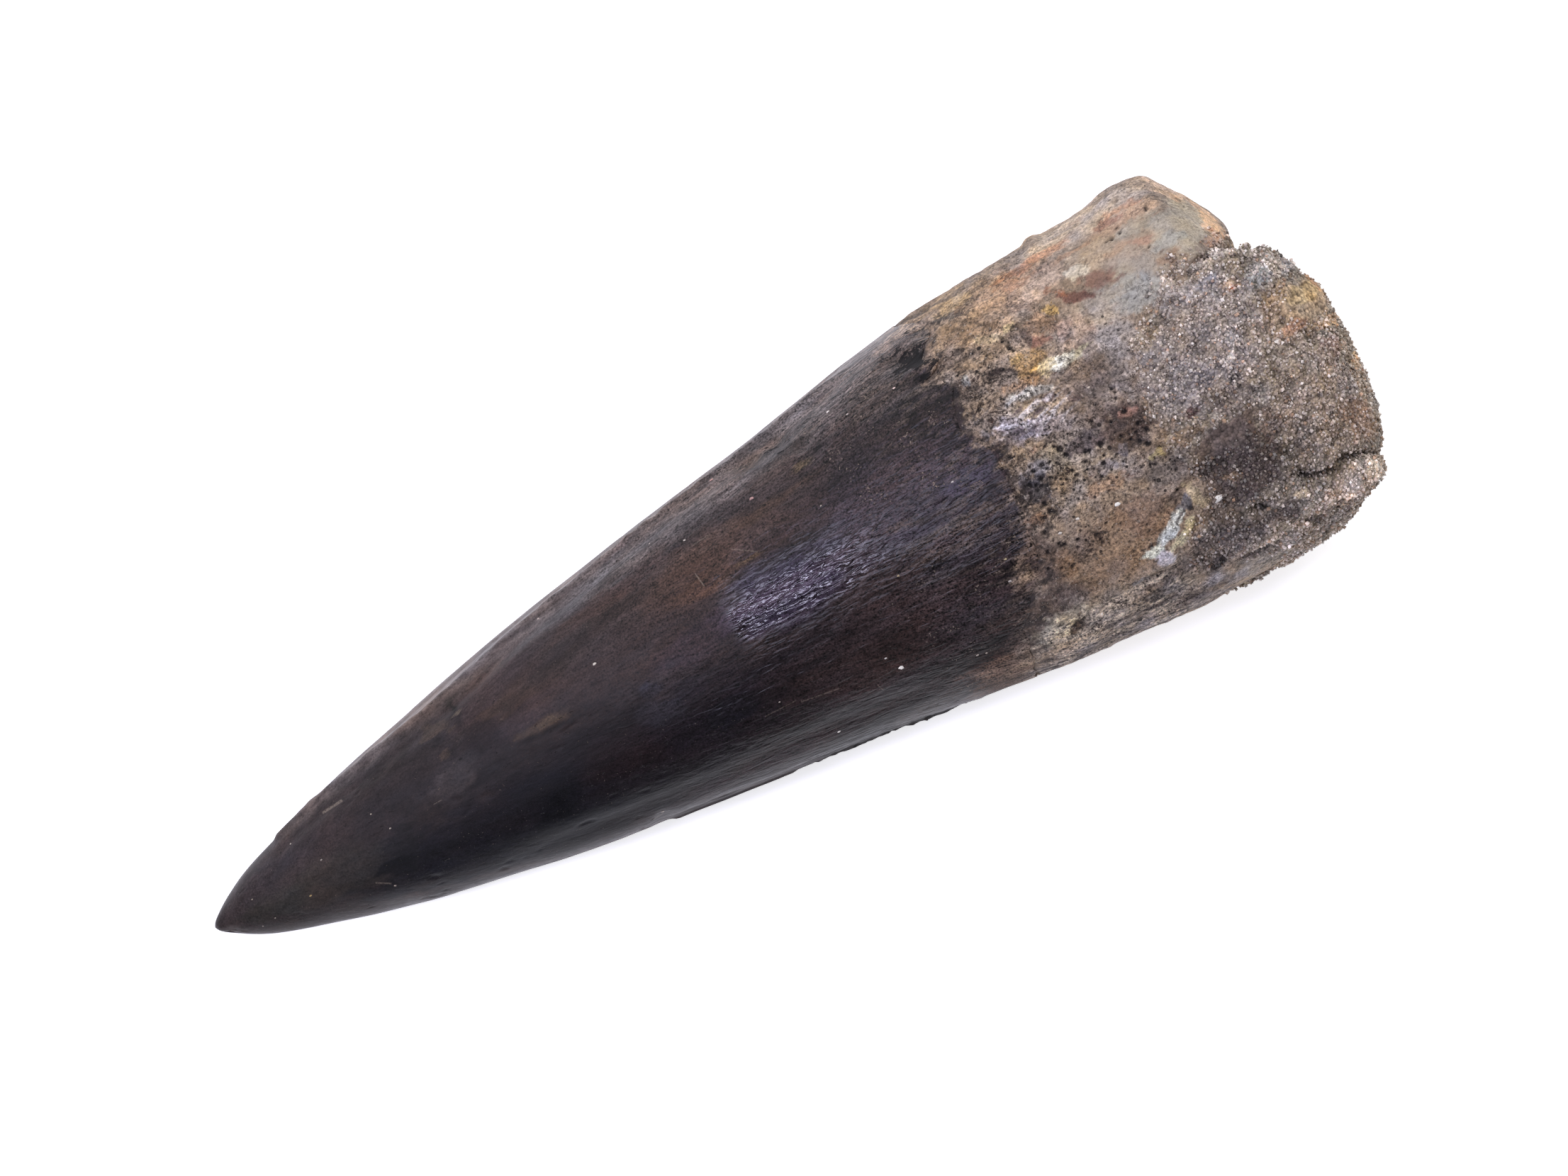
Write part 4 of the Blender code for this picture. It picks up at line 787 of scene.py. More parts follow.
scratches = [  # from, to (along and across), half breadth, strength
    ((9.5, -3.35), (10.7, -3.45), 0.07, 0.6),
    ((12.1, -3.5), (13.8, -3.62), 0.12, 0.9),
    ((13.1, 3.3), (14.1, 3.9), 0.08, 0.6),
    ((46.6, -5.7), (46.75, -4.6), 0.07, 0.8),
    ((47.5, -7.75), (49.0, -7.85), 0.06, 0.5),
    ((50.0, -6.0), (51.6, -4.9), 0.06, 0.6),
    ((46.0, 6.55), (48.6, 6.6), 0.05, 0.5),
    ((49.0, 6.9), (52.0, 7.4), 0.06, 0.6),
    ((34.5, 9.4), (35.3, 9.35), 0.06, 0.5),
    ((54.75, 8.6), (54.95, 9.15), 0.05, 0.6),
    ((7.0, -3.35), (7.5, -3.3), 0.06, 0.5),
    ((20.1, 0.1), (20.8, 0.1), 0.05, 0.5),
]


# the crown

crownPiece = {
    "rowsTip": 10,
    "rows": 243,
    "columns": 372,
    "gather": 0.3,  # how much closer the columns lie on top than underneath
    "tipCentre": 1.2,
    "wrinkles": [  # height, how much more of it past the tip's third, size, seed
        (0.006, 0.012, (3.4, 0.66, 0.66), 21), (0.003, 0.008, (1.5, 0.42, 0.42), 22),
        (0.03, 0.0, (14.0, 1.7, 1.7), 23), (0.02, 0.0, (2.2, 1.1, 1.1), 29),
    ],
    "fullness": (0.13, (53.5, -1.2, 8.5, 7.0, 0)),  # height and oval of a low swell on top
    "grit": [(0.14, 0.6, 1, 24), (0.10, 0.34, 1, 25)],  # on the -Y cutting edge
    "wornEdge": (0.07, 0.06),  # height of the +Y cutting edge's bead, and of its bumps
    "spalls": 0.06,
    "lip": [(0.04, 0.02), (0.05, 0.07), (-0.02, 0.20), (-0.30, 0.60)],  # forward, down
    "capPoint": (60.0, 0.0, 11.0),
    "glossFrom": 46.9,  # where the polished stretch starts and ends along, and its width across
    "glossTo": 63.0,
    "glossAcross": (-4.8, 1.4),
    "chipped": [(0.85, 68.8, -12.0, 3.2, 2.3, 4), (0.9, 56.4, -11.3, 2.6, 0.8, 8)],
}


def aroundAt(columns, place, gather):
    # directions round the section: their sine and cosine, and where they meet the outline
    turns = np.arange(columns) * 2 * math.pi / columns
    turns = turns - gather * np.sin(turns)
    side = np.sin(turns)
    lift = np.cos(turns)
    here = Section(np.full(columns, place))
    y = here.middle + here.halfWidth * side
    z = here.height + np.where(lift > 0, here.upper, here.lower) * lift
    return side, lift, y, z


def raysFrom(place, tilt, side, lift, ahead):
    # rays from the axis; tilt is 0 straight out and 90 degrees along it
    section = Section(place)
    thickness = np.where(lift > 0, section.upper, section.lower)
    tilt = np.radians(tilt)[:, None]
    origin = np.stack([place, section.middle, section.height], axis=-1)
    outward = np.stack([np.sin(tilt) * ahead * np.ones_like(place),
                        np.cos(tilt) * section.halfWidth * side,
                        np.cos(tilt) * thickness * lift], axis=-1)
    return origin, outward


def lifted(origin, outward, reach, height=0.0):
    # points on the rays, raised by a height in millimetres
    return origin + outward * (reach + height / np.linalg.norm(outward, axis=-1))[..., None]


def crownRays():
    columns, rows, rowsTip = (crownPiece[name] for name in ("columns", "rows", "rowsTip"))
    side, lift, y, z = aroundAt(columns, 70.0, crownPiece["gather"])
    edge = brokenEdge(y, z, lift)
    centre = crownPiece["tipCentre"]
    tilts = -90.0 + 90.0 * (np.arange(rowsTip) + 0.5) / rowsTip
    share = np.linspace(0.0, 1.0, rows) ** 1.06
    place = centre + (edge[None, :] - centre) * share[:, None]
    place = np.vstack([np.full((len(tilts), columns), centre), place])
    origin, outward = raysFrom(place, np.concatenate([tilts, np.zeros(rows)]), side, lift, centre)
    return origin, outward, cast(origin, outward, crownDepth)


def crownDetail(points, above):
    # what only shows from near: wrinkles of the enamel, chips, the gritty cutting edge
    along, y, z = points[..., 0], points[..., 1], points[..., 2]
    section = Section(along)
    wrinkled = ramp((along - 28.0) / 20.0)
    height = 0.0
    for low, more, size, seed in crownPiece["wrinkles"]:
        height = height + (low + more * wrinkled) * hills(points, size, seed)
    tall, oval = crownPiece["fullness"]
    height += tall * mound(along, -y, oval) * above
    gritty = np.exp(-((section.around(y, z, -93.0) / 1.1) ** 2)) * between(along, 44.0, 64.0, 5.0, 4.0)
    height += gritty * layers(points, crownPiece["grit"])
    away = section.around(y, z, curve(carinae[0][0], along))
    worn = np.exp(-((away / 0.5) ** 2)) * between(along, 8.0, 66.0, 4.0, 6.0)
    bead, bumpy = crownPiece["wornEdge"]
    height += worn * (bead + bumpy * hills(points, (0.9, 0.5, 0.5), 26))
    spalls = ramp((roughness(points, (1.6, 0.8, 0.8), 3, 27) - 0.80) / 0.25)
    return height - crownPiece["spalls"] * spalls


def enamelColours(skin):
    along, width = skin.along, skin.section.halfWidth
    colours = painted(skin, crownPaint)
    # pale lines on the worn cutting edges, partly painted highlight, and dark grit on the -Y edge
    for course, breadth, start, end, text, strength in crownPaint["edges"]:
        away = skin.around(curve(course, along))
        line = np.exp(-((away / breadth) ** 2)) * between(along, start, end, 2.0, 3.0)
        spread(colours, text, strength * line * np.clip(0.7 + 0.6 * skin.hills((1.6, 0.6, 0.6), 48), 0, 1))
    # painted sheen: a pale streaked band under the +Y cutting edge and a pale +Y rim
    away = skin.around(curve(carinae[0][0], along))
    sheenBand = between(away, -0.3, 4.2, 0.8, 2.2) * between(along, 9.0, 71.5, 8.0, 3.0)
    rim = ramp((-skin.across - 0.70 * width) / (0.16 * width)) * skin.top
    rim = rim * between(along, 5.0, 72.5, 7.0, 3.0)
    for where, (text, amount, size, seed, most) in zip((sheenBand, rim), crownPaint["sheenStreaks"]):
        streaks = amount + skin.layers([(0.22, (size, 0.35, 0.35), 3, seed)])
        spread(colours, text, where * np.clip(streaks, 0, most))
    grain = skin.layers(crownPaint["grain"]) * (1 + 0.7 * ramp((along - 44.0) / 10.0))
    warm = np.clip(skin.layers(crownPaint["warm"]), -1, 1)[:, None]
    colours *= (1 + grain)[:, None] * (1 + warm * np.array([0.13, 0.0, -0.13]))
    nearEdge = ramp((along - 60.0) / 10.0) * ramp((14.5 - np.abs(skin.across)) / 3.0)
    spread(colours, "151113", 0.7 * nearEdge * skin.blots((1.0, 0.5, 0.5), 3, 45, 0.15, 0.25))
    spread(colours, "75665b", 0.45 * nearEdge * skin.blots((1.2, 0.4, 0.4), 3, 46, 0.25, 0.25))
    return colours * crownPaint["gain"]


def smoothPart(skin):
    # where the root is smooth: its flank to +Y, beside the crust
    return skin.oval(88.0, -10.5, 7.5, 4.6, 8)


def boneColours(skin):
    along, across, top = skin.along, skin.across, skin.top
    colours = painted(skin, rootPaint)
    calm = smoothPart(skin) * top
    even = np.maximum(calm, 0.8 * skin.oval(76.0, 7.6, 5.0, 2.6, 0) * top)
    stains = skin.blots((2.2, 1.2, 1.2), 5, 78, 0.22, 0.22) * (1 - even) * ramp((85.0 - along) / 3.0)
    spread(colours, "4d3d33", 0.45 * stains)
    grain = skin.layers(rootPaint["grain"]) * (1 - 0.6 * even)
    warm = np.clip(skin.layers(rootPaint["warm"]), -1, 1) * (1 - 0.5 * even)
    colours *= (1 + grain)[:, None]
    colours *= 1 + warm[:, None] * np.array([0.08, 0.01, -0.14]) + np.array([0.0, 0.01, -0.07])
    past = skin.past + 0.5 * skin.hills(1.6, 76)
    start = 0.68 * ramp((1.7 - past) / 1.6) * (1 - ramp((across - 10.0) / 1.5) * top)
    spread(colours, "54463d", start * (0.75 + 0.5 * skin.hills(0.7, 77)))
    # painted light: lighter on the -Y flank, which the lamps leave in shade
    colours *= (1 + 0.40 * ramp((across - 10.0) / 3.5) * top)[:, None]
    specked = ramp((4.2 - past) / 3.0) * ramp((12.5 - across) / 2.0)
    spread(colours, "2a2321", 0.8 * specked * skin.blots((0.8, 0.6, 0.6), 4, 74, 0.25, 0.2))
    brighter = 0.15 * skin.oval(75.2, -9.6, 3.2, 3.2, 0) * top
    dimmer = 0.30 * calm + 0.16 * top * ramp((-across - 10.5) / 2.0)
    return colours * (rootPaint["gain"] + brighter - dimmer)[:, None]


def edgeMask(skin):
    # 0 on the enamel, 1 on the root, with a ragged edge that is softer to -Y
    low = ramp((skin.across - 0.5) / 6.0)
    flank = ramp((skin.across - 9.0) / 2.5)
    wandered = skin.past + (1 + 0.4 * low) * skin.layers(rootPaint["edge"])
    return ramp(0.5 + wandered / (0.55 + 1.1 * low + 3.0 * flank))


print("crown")
origin, outward, reach = crownRays()
points = lifted(origin, outward, reach)
height, above, _ = mainRelief(points)
rings = lifted(origin, outward, reach, height + crownDetail(points, above))

# the enamel's broken edge rolls over and runs in under itself
unit = outward[-1] / np.linalg.norm(outward[-1], axis=-1)[:, None]
lip = [rings[-1] - unit * down + np.array([forward, 0.0, 0.0]) for forward, down in crownPiece["lip"]]
rings = np.concatenate([rings, np.array(lip)])
rings[..., 2] = np.maximum(rings[..., 2], 0.0)
back = np.array([[-crownPiece["tipCentre"], 0.0, 0.0]])
tipPoint = (origin[0, :1] + back * cast(origin[0, :1], back, crownDepth)[:, None])[0]
skin = Skin(rings, tipPoint, crownPiece["capPoint"])
crown = asGrid("crown", skin)
store(crown, "tint", mixed(enamelColours(skin), boneColours(skin), edgeMask(skin)))

along, across, top = skin.along, skin.across, skin.top
warp, warpAcross = skin.wander(crownPaint["wander"])
low, high = crownPiece["glossAcross"]
polish = ramp((along + warp - crownPiece["glossFrom"]) / 1.0)
polish *= ramp((crownPiece["glossTo"] - along - 2 * warp) / 7.0)
polish *= between(across + warpAcross, low, high, 2.0, 1.0) * top
polish *= 0.40 + 0.86 * ramp((across + 3.0 + warpAcross) / 1.2)
store(crown, "polish", polish)
store(crown, "wrinkled", 0.25 + 0.75 * ramp((along - 30.0) / 16.0) + 0.45 * ramp((along - 56.0) / 6.0))
chipped = sum(strength * skin.oval(*oval) for strength, *oval in crownPiece["chipped"])
store(crown, "chipped", np.clip(chipped, 0, 1) * top + 0.55 * ramp((skin.past + 2.2) / 2.0))
flank = ramp((along - 60.0) / 4.0) * ramp((across - 9.5) / 2.0) * top
dull = 0.5 * ramp((47.8 - along - warp) / 1.2) * between(across, -6.5, 4.5, 2.5, 2.0)
dull *= ramp((along - 3.0) / 6.0) * top
worn = ramp((2.2 - np.abs(skin.around(-96.0))) / 1.2) * ramp((along - 20.0) / 14.0)
store(crown, "worn", np.maximum(np.maximum(worn, flank), dull))


# the root

rootPiece = {
    "under": 1.6,  # how far the root runs on beneath the enamel
    "rowsSide": 118,
    "rowsEnd": 62,
    "rowsInside": 12,
    "columns": 480,
    "gather": 0.45,
    "insideFrom": 52.0,  # degrees round the end from which the sandstone hides it
    "coarse": [(0.07, (2.6, 1.6, 1.6), 3, 51), (0.045, (1.0, 0.5, 0.5), 2, 54)],
    "crags": 0.16,
    "fibres": 0.20,
    "folds": 0.15,
    "pores": 0.20,
    "grooves": 0.16,
    "wrinkled": (75.0, -3.9, 3.3, 1.7, 12),
    "startPoint": (58.0, 0.0, 11.0),
    "poreHomes": [  # along, across, spreads, how many, smallest and largest half width, side
        (76.2, 0.8, 2.4, 1.6, 60, 0.07, 0.20, 1), (73.6, 6.9, 1.6, 0.6, 34, 0.07, 0.20, 1),
        (82.3, 4.8, 1.2, 1.0, 36, 0.06, 0.17, 1), (72.4, 1.2, 0.7, 0.9, 30, 0.08, 0.26, 1),
        (71.3, 4.0, 0.8, 1.6, 26, 0.08, 0.26, 1), (73.8, -7.6, 1.3, 1.3, 26, 0.08, 0.22, 1),
        (85.7, -8.0, 0.7, 0.4, 10, 0.06, 0.10, 1), (83.4, -6.4, 0.8, 1.2, 18, 0.06, 0.12, 1),
        (82.7, -3.6, 0.5, 1.2, 14, 0.07, 0.14, 1), (90.4, -12.6, 2.2, 1.2, 14, 0.06, 0.14, 1),
        (81.0, 0.8, 1.4, 1.1, 26, 0.10, 0.30, 1), (75.4, 3.6, 2.4, 1.6, 30, 0.06, 0.13, 1),
        (74.0, -4.0, 4.5, 8.0, 110, 0.08, 0.28, -1), (80.0, 5.0, 5.0, 5.0, 90, 0.08, 0.28, -1),
    ],
    "chosenPores": [  # along, across, half width
        (75.7, -0.6, 0.30), (75.9, 0.1, 0.20), (75.4, -0.9, 0.16), (78.1, 2.1, 0.26), (78.4, 1.6, 0.14),
        (72.8, 3.3, 0.26), (73.0, 3.5, 0.18), (74.8, -1.3, 0.13), (75.3, -1.35, 0.12), (81.4, -2.7, 0.16),
        (81.3, -1.9, 0.14), (81.5, -2.3, 0.13), (90.6, -13.6, 0.20), (86.6, -12.9, 0.13),
        (87.1, -12.9, 0.17), (87.9, -13.0, 0.12), (88.3, -13.2, 0.11), (84.1, -6.3, 0.14),
        (75.2, 0.9, 0.10), (74.1, 0.3, 0.13), (79.3, 3.9, 0.12), (80.5, 3.8, 0.13), (81.2, 3.9, 0.14),
        (89.3, -10.8, 0.12), (91.6, -11.6, 0.10), (76.1, -9.2, 0.20), (76.3, -8.9, 0.16),
    ],
    "porous": [  # where the shader adds small holes: strength and oval
        (1.0, 77.0, 1.6, 4.6, 3.6, 0), (1.0, 82.4, 4.6, 2.4, 2.0, 0), (0.8, 73.6, 6.6, 3.0, 1.6, 0),
        (0.45, 84.0, -6.0, 2.4, 3.4, 0), (0.35, 73.6, -8.4, 3.0, 3.0, 0),
    ],
}


def boneRays():
    columns, rowsSide, rowsEnd, rowsInside = (
        rootPiece[name] for name in ("columns", "rowsSide", "rowsEnd", "rowsInside"))
    side, lift, y, z = aroundAt(columns, 70.0, rootPiece["gather"])
    edge = brokenEdge(y, z, lift) - rootPiece["under"]
    share = np.linspace(0.0, 1.0, rowsSide)
    start = tooth["domeStart"]
    place = edge[None, :] + (start - edge[None, :]) * share[:, None]
    inside = rootPiece["insideFrom"]
    shown = inside * (np.arange(rowsEnd) + 1) / rowsEnd
    hidden = inside + (90.0 - inside) * (np.arange(rowsInside) + 1) / (rowsInside + 1)
    place = np.vstack([place, np.full((rowsEnd + rowsInside, columns), start)])
    tilt = np.concatenate([np.zeros(rowsSide), shown, hidden])
    origin, outward = raysFrom(place, tilt, side, lift, tooth["domeLength"])
    return origin, outward, cast(origin, outward, boneDepth)


def boneDetail(points, above):
    along, across = points[..., 0], -points[..., 1]
    height = layers(points, rootPiece["coarse"])
    height *= 1 - 0.7 * mound(along, across, (88.5, -9.5, 6.5, 4.2, 0)) * above
    crags = 1 - np.abs(hills(points, (1.6, 0.9, 0.9), 56))
    rough = ramp((77.0 - along) / 4.0) * between(across, -13.0, -4.0, 3.0, 3.0) * above
    height += rootPiece["crags"] * rough * (crags - 0.6)
    fibrous = ramp((across - 10.6) / 1.2) * ramp((84.0 - along) / 3.0) * above
    ridges = 1 - np.abs(hills(points, (6.0, 0.5, 0.5), 53))
    height += rootPiece["fibres"] * fibrous * (ridges - 0.5)
    reach, folds = wrinkles(points)
    return height + rootPiece["folds"] * reach * above * folds


def wrinkles(points):
    # where the root is wrinkled, and its folds from -1.2 to 1
    slant = points @ np.array([[0.95, -0.3, 0.0], [0.3, 0.95, 0.0], [0.0, 0.0, 1.0]])
    folds = 0.65 * np.abs(hills(slant, (2.6, 0.5, 5.0), 58))
    folds += 0.35 * np.abs(hills(slant, (1.2, 0.22, 2.0), 59))
    return mound(points[..., 0], -points[..., 1], rootPiece["wrinkled"]), 1 - 2.2 * folds


def scattered(draw, home, smallness):
    # holes round one place; a higher smallness makes more of them small
    centre, middle, length, breadth, count, small, large = home[:7]
    holes = []
    for _ in range(count):
        s = centre + length * draw.normal()
        q = middle + breadth * draw.normal()
        holes.append((s, q, small + (large - small) * draw.random() ** smallness))
    return holes


def stamped(points, holes, squash, steepness, shallow):
    # 1 in the middle of each hole and 0 outside; those narrower than shallow are less deep
    along, across = points[..., 0], -points[..., 1]
    sunk = np.zeros_like(along)
    for s, q, wide, reach in holes:
        near = (np.abs(along - s) < 0.8) & (np.abs(across - q) < 0.8)
        gap = ((along[near] - s) / wide) ** 2 + ((across[near] - q) / (wide * squash)) ** 2
        deep = np.exp(-gap**steepness) * reach[near] * min(1.0, wide / shallow)
        sunk[near] = np.maximum(sunk[near], deep)
    return sunk


def pores(points, above):
    # open holes of the spongy bone, in the bands where they show
    draw = np.random.default_rng(11)
    holes = [(*hole, above) for hole in rootPiece["chosenPores"]]
    for home in rootPiece["poreHomes"]:
        reach = above if home[7] > 0 else 1 - above
        holes += [(*hole, reach) for hole in scattered(draw, home, 2.6)]
    return stamped(points, holes, 0.85, 2.5, 0.14)


def grooves(points, above):
    # 1 in the thin cracks and ledges of the root
    along = points[..., 0] + 0.16 * hills(points, 0.9, 15) + 0.08 * hills(points, 0.4, 16)
    across = -points[..., 1] + 0.16 * hills(points, 0.9, 17) + 0.08 * hills(points, 0.4, 18)
    cut = np.zeros(above.shape)
    for breadth, deep, line in rootLines:
        here = np.exp(-((lineDistance(along, across, line) / breadth) ** 2)) * deep / 0.16
        cut = np.maximum(cut, here)
    return cut * above * np.clip(0.75 + 0.7 * hills(points, 1.1, 19), 0, 1)


def withEnds(values):
    # the same values for the two closing points as for the rings beside them
    return np.concatenate([values.reshape(-1), [values[0].mean(), values[-1].mean()]])


print("root")
origin, outward, reach = boneRays()
points = lifted(origin, outward, reach)
height, above, onRoot = mainRelief(points)
detail = boneDetail(points, above) * onRoot
sunk = pores(points, above) * onRoot
cut = grooves(points, above)
height = height + detail - rootPiece["pores"] * sunk - rootPiece["grooves"] * cut
rings = lifted(origin, outward, reach, height)
border = raggedBorder(rings)
# under the crust it stays clear of the ground, where the sandstone lies
rings[..., 2] = np.maximum(rings[..., 2], 0.12 * ramp(0.5 - border / 0.6))
skin = Skin(rings, rootPiece["startPoint"], rings[-1].mean(axis=0))
bone = asGrid("root", skin)

along, across, top = skin.along, skin.across, skin.top
mask = edgeMask(skin)
boneTints = mixed(enamelColours(skin), boneColours(skin), mask)
# painted shade: darker in the hollows of the fine relief
boneTints *= (1 - 0.45 * np.clip(-withEnds(detail) / 0.14, 0.0, 1.0))[:, None]
folded, folds = wrinkles(skin.places)
# painted highlight on the crests of the folds, painted shade in their troughs
spread(boneTints, "e8dedd", 0.95 * folded * top * ramp((folds - 0.38) / 0.35))
spread(boneTints, "4b3d44", 0.75 * folded * top * ramp((0.15 - folds) / 0.4))
fibrous = ramp((across - 11.0) / 0.8) * between(along, 65.0, 82.0, 2.0, 4.0) * top
fibres = skin.layers([(1.0, (3.2, 0.35, 0.35), 3, 96)])
spread(boneTints, "d3c2ac", 0.8 * fibrous * ramp((fibres - 0.15) / 0.5))
spread(boneTints, "3d322d", 0.7 * fibrous * ramp((-0.2 - fibres) / 0.4))
spread(boneTints, "1a1413", np.clip(0.95 * withEnds(cut), 0, 0.9))
spread(boneTints, "0f0b0c", np.clip(1.3 * withEnds(sunk), 0, 0.95))
store(bone, "tint", boneTints)
store(bone, "glossy", skin.oval(75.4, -4.2, 3.8, 2.2, 12) * top)
lively = 1 - 0.72 * smoothPart(skin) * top + 0.6 * fibrous
lively += 0.35 * top * ramp((78.5 - along) / 2.0) * between(across, -12.5, 5.0, 2.0, 2.0)
store(bone, "lively", lively * (0.4 + 0.6 * mask))
porous = np.max([strength * skin.oval(*oval) for strength, *oval in rootPiece["porous"]], axis=0)
store(bone, "porous", np.maximum(porous * top, 0.6 * (1 - top)) * mask)
boneBorder = crustBorder(along, skin.places[:, 1], skin.places[:, 2], skin.section)


# the sandstone in and on the root

sandstone = {
    "start": 78.0,
    "rowsSide": 30,
    "rowsEnd": 116,
    "columns": 620,
    "gather": 0.35,
    "sunk": 0.35,  # how far it lies under the bone outside its border
    "lower": 0.12,  # leaves room for the grains that stand on it
    "rimHigh": 0.04,  # how far its thin rim stands above the bone
    "toe": (1.3, 1.3, 92.0),  # how wide the rim is, how much wider short of a place, that place
    "coarse": [(0.07, 1.9, 2, 55), (0.12, 0.62, 3, 57)],
    "smoothed": (87.3, 4.8, 3.3, 1.3, -6),  # oval of the dark stretch with few grains
    "ochre": (97.8, -1.5, 2.6, 2.1, 0),
    "pitHome": (97.2, -1.5, 1.3, 1.3, 80, 0.06, 0.18),  # as for the root's pores
    "pits": 0.1,
    "startPoint": (78.0, 0.0, 12.0),
}


def sandRays():
    columns, rowsSide, rowsEnd = (sandstone[name] for name in ("columns", "rowsSide", "rowsEnd"))
    start = tooth["domeStart"]
    side, lift, _, _ = aroundAt(columns, start, sandstone["gather"])
    place = np.linspace(sandstone["start"], start, rowsSide)
    tilts = 90.0 * (np.arange(rowsEnd) + 1) / (rowsEnd + 1)
    place = np.concatenate([place, np.full(rowsEnd, start)])[:, None] * np.ones(columns)
    tilt = np.concatenate([np.zeros(rowsSide), tilts])
    return raysFrom(place, tilt, side, lift, tooth["domeLength"])


print("sandstone")
origin, outward = sandRays()
length = np.linalg.norm(outward, axis=-1)
outer = cast(origin, outward, sandDepth)
inner = cast(origin, outward, boneDepth) - sandstone["sunk"] / length
points = lifted(origin, outward, outer)
border = raggedBorder(points)
narrow, wider, widerBelow = sandstone["toe"]
toe = narrow + wider * ramp((widerBelow - points[..., 0]) / 3.0)
shown = ramp(0.5 - border / 0.6)
full = ramp(-border / toe)
sheet = inner + (sandstone["sunk"] + sandstone["rimHigh"]) / length
reach = inner + (sheet + (outer - sandstone["lower"] / length - sheet) * full - inner) * shown
height, above, _ = mainRelief(points)
smoothed = mound(points[..., 0], -points[..., 1], sandstone["smoothed"]) * above
sandy = layers(points, sandstone["coarse"]) * (1 - 0.7 * smoothed)
holes = [(*hole, above) for hole in scattered(np.random.default_rng(23), sandstone["pitHome"], 2.0)]
pitted = stamped(points, holes, 1.0, 2.0, 0.01)
rings = lifted(origin, outward, reach, height + (sandy - sandstone["pits"] * pitted) * shown)
# outside its border it lies hidden in the bone, above the bone's own underside
rings[..., 2] = np.maximum(rings[..., 2], 0.3 * (1 - shown))
skin = Skin(rings, sandstone["startPoint"], rings[-1].mean(axis=0))
filling = asGrid("sandstone", skin)

across, top = skin.across, skin.top
sandTints = painted(skin, crustPaint)
warm = np.clip(skin.layers(crustPaint["warm"]), -1, 1)[:, None]
# the lighter -Y flank here is painted light, where the lamps leave shade
sandTints *= (1 + skin.layers(crustPaint["grain"]) + 0.45 * ramp((across - 10.5) / 3.5) * top)[:, None]
sandTints *= 1 + warm * np.array([0.08, 0.01, -0.12]) + np.array([0.0, 0.01, -0.07])
# painted shade: darker in the hollows of the sandstone's surface
sandTints *= (1 - 0.6 * np.clip(-withEnds(sandy) / 0.2, 0, 1))[:, None] * crustPaint["gain"]
sandTints = mixed(boneColours(skin), sandTints, ramp(0.3 - withEnds(border) + 0.3 * skin.hills(0.6, 92)))
# painted shadow: near-black along the deep crack
dark = np.exp(-((lineDistance(skin.along, across, cracks[0][3]) / 0.2) ** 2)) * top
spread(sandTints, "0d0a09", 0.95 * dark)
spread(sandTints, "2b2320", np.clip(0.6 * withEnds(pitted), 0, 0.6))
store(filling, "tint", sandTints)
smoothed = withEnds(smoothed)
ochre = mound(skin.slant, across, sandstone["ochre"]) * top
store(filling, "smooth", np.maximum(smoothed, 0.8 * ochre))
sandShown = withEnds(shown) * (1 - 0.85 * smoothed) * (1 - 0.93 * ochre)


# sand grains on the crust, with the specks that stick to the rest

grains = {
    "count": 17500,
    "size": (0.085, 0.20),
    "palette": [("c6bbb1", 0.30), ("a6978b", 0.28), ("83746b", 0.20), ("41352f", 0.11),
                ("dfd9d2", 0.05), ("a88468", 0.06)],
    "ownShare": 0.66,  # how much of a grain's colour is its own and not the ground's
    "follow": 0.85,  # how far a grain is dark where the ground is
    "bright": 0.15,  # share of grains that stay light on dark ground
    "stray": 0.06,  # how far grains stray from the face they stand on
    "standing": 0.35,  # how far they stand out, as a share of their size
    "onBone": 0.8,  # how thick they lie on the bone beside the crust
    "speckForm": (1.2, 0.8, 0.45),
}


def facesOf(piece, perVertex):
    # centre, normal and area of each face, and the values of its first vertex
    mesh = piece.data
    count = len(mesh.polygons)
    centre = np.empty(count * 3)
    normal = np.empty(count * 3)
    area = np.empty(count)
    mesh.polygons.foreach_get("center", centre)
    mesh.polygons.foreach_get("normal", normal)
    mesh.polygons.foreach_get("area", area)
    starts = np.empty(count, dtype=np.int32)
    mesh.polygons.foreach_get("loop_start", starts)
    corner = np.empty(len(mesh.loops), dtype=np.int32)
    mesh.loops.foreach_get("vertex_index", corner)
    first = corner[starts]
    return centre.reshape(-1, 3) / mm, normal.reshape(-1, 3), area, [value[first] for value in perVertex]


def turned(draw, count):
    # an even spread of random turns, as matrices
    q = draw.normal(size=(count, 4))
    q /= np.linalg.norm(q, axis=1, keepdims=True)
    w, x, y, z = q.T
    return np.stack([
        np.stack([1 - 2 * (y * y + z * z), 2 * (x * y - z * w), 2 * (x * z + y * w)], axis=-1),
        np.stack([2 * (x * y + z * w), 1 - 2 * (x * x + z * z), 2 * (y * z - x * w)], axis=-1),
        np.stack([2 * (x * z - y * w), 2 * (y * z + x * w), 1 - 2 * (x * x + y * y)], axis=-1),
    ], axis=1)


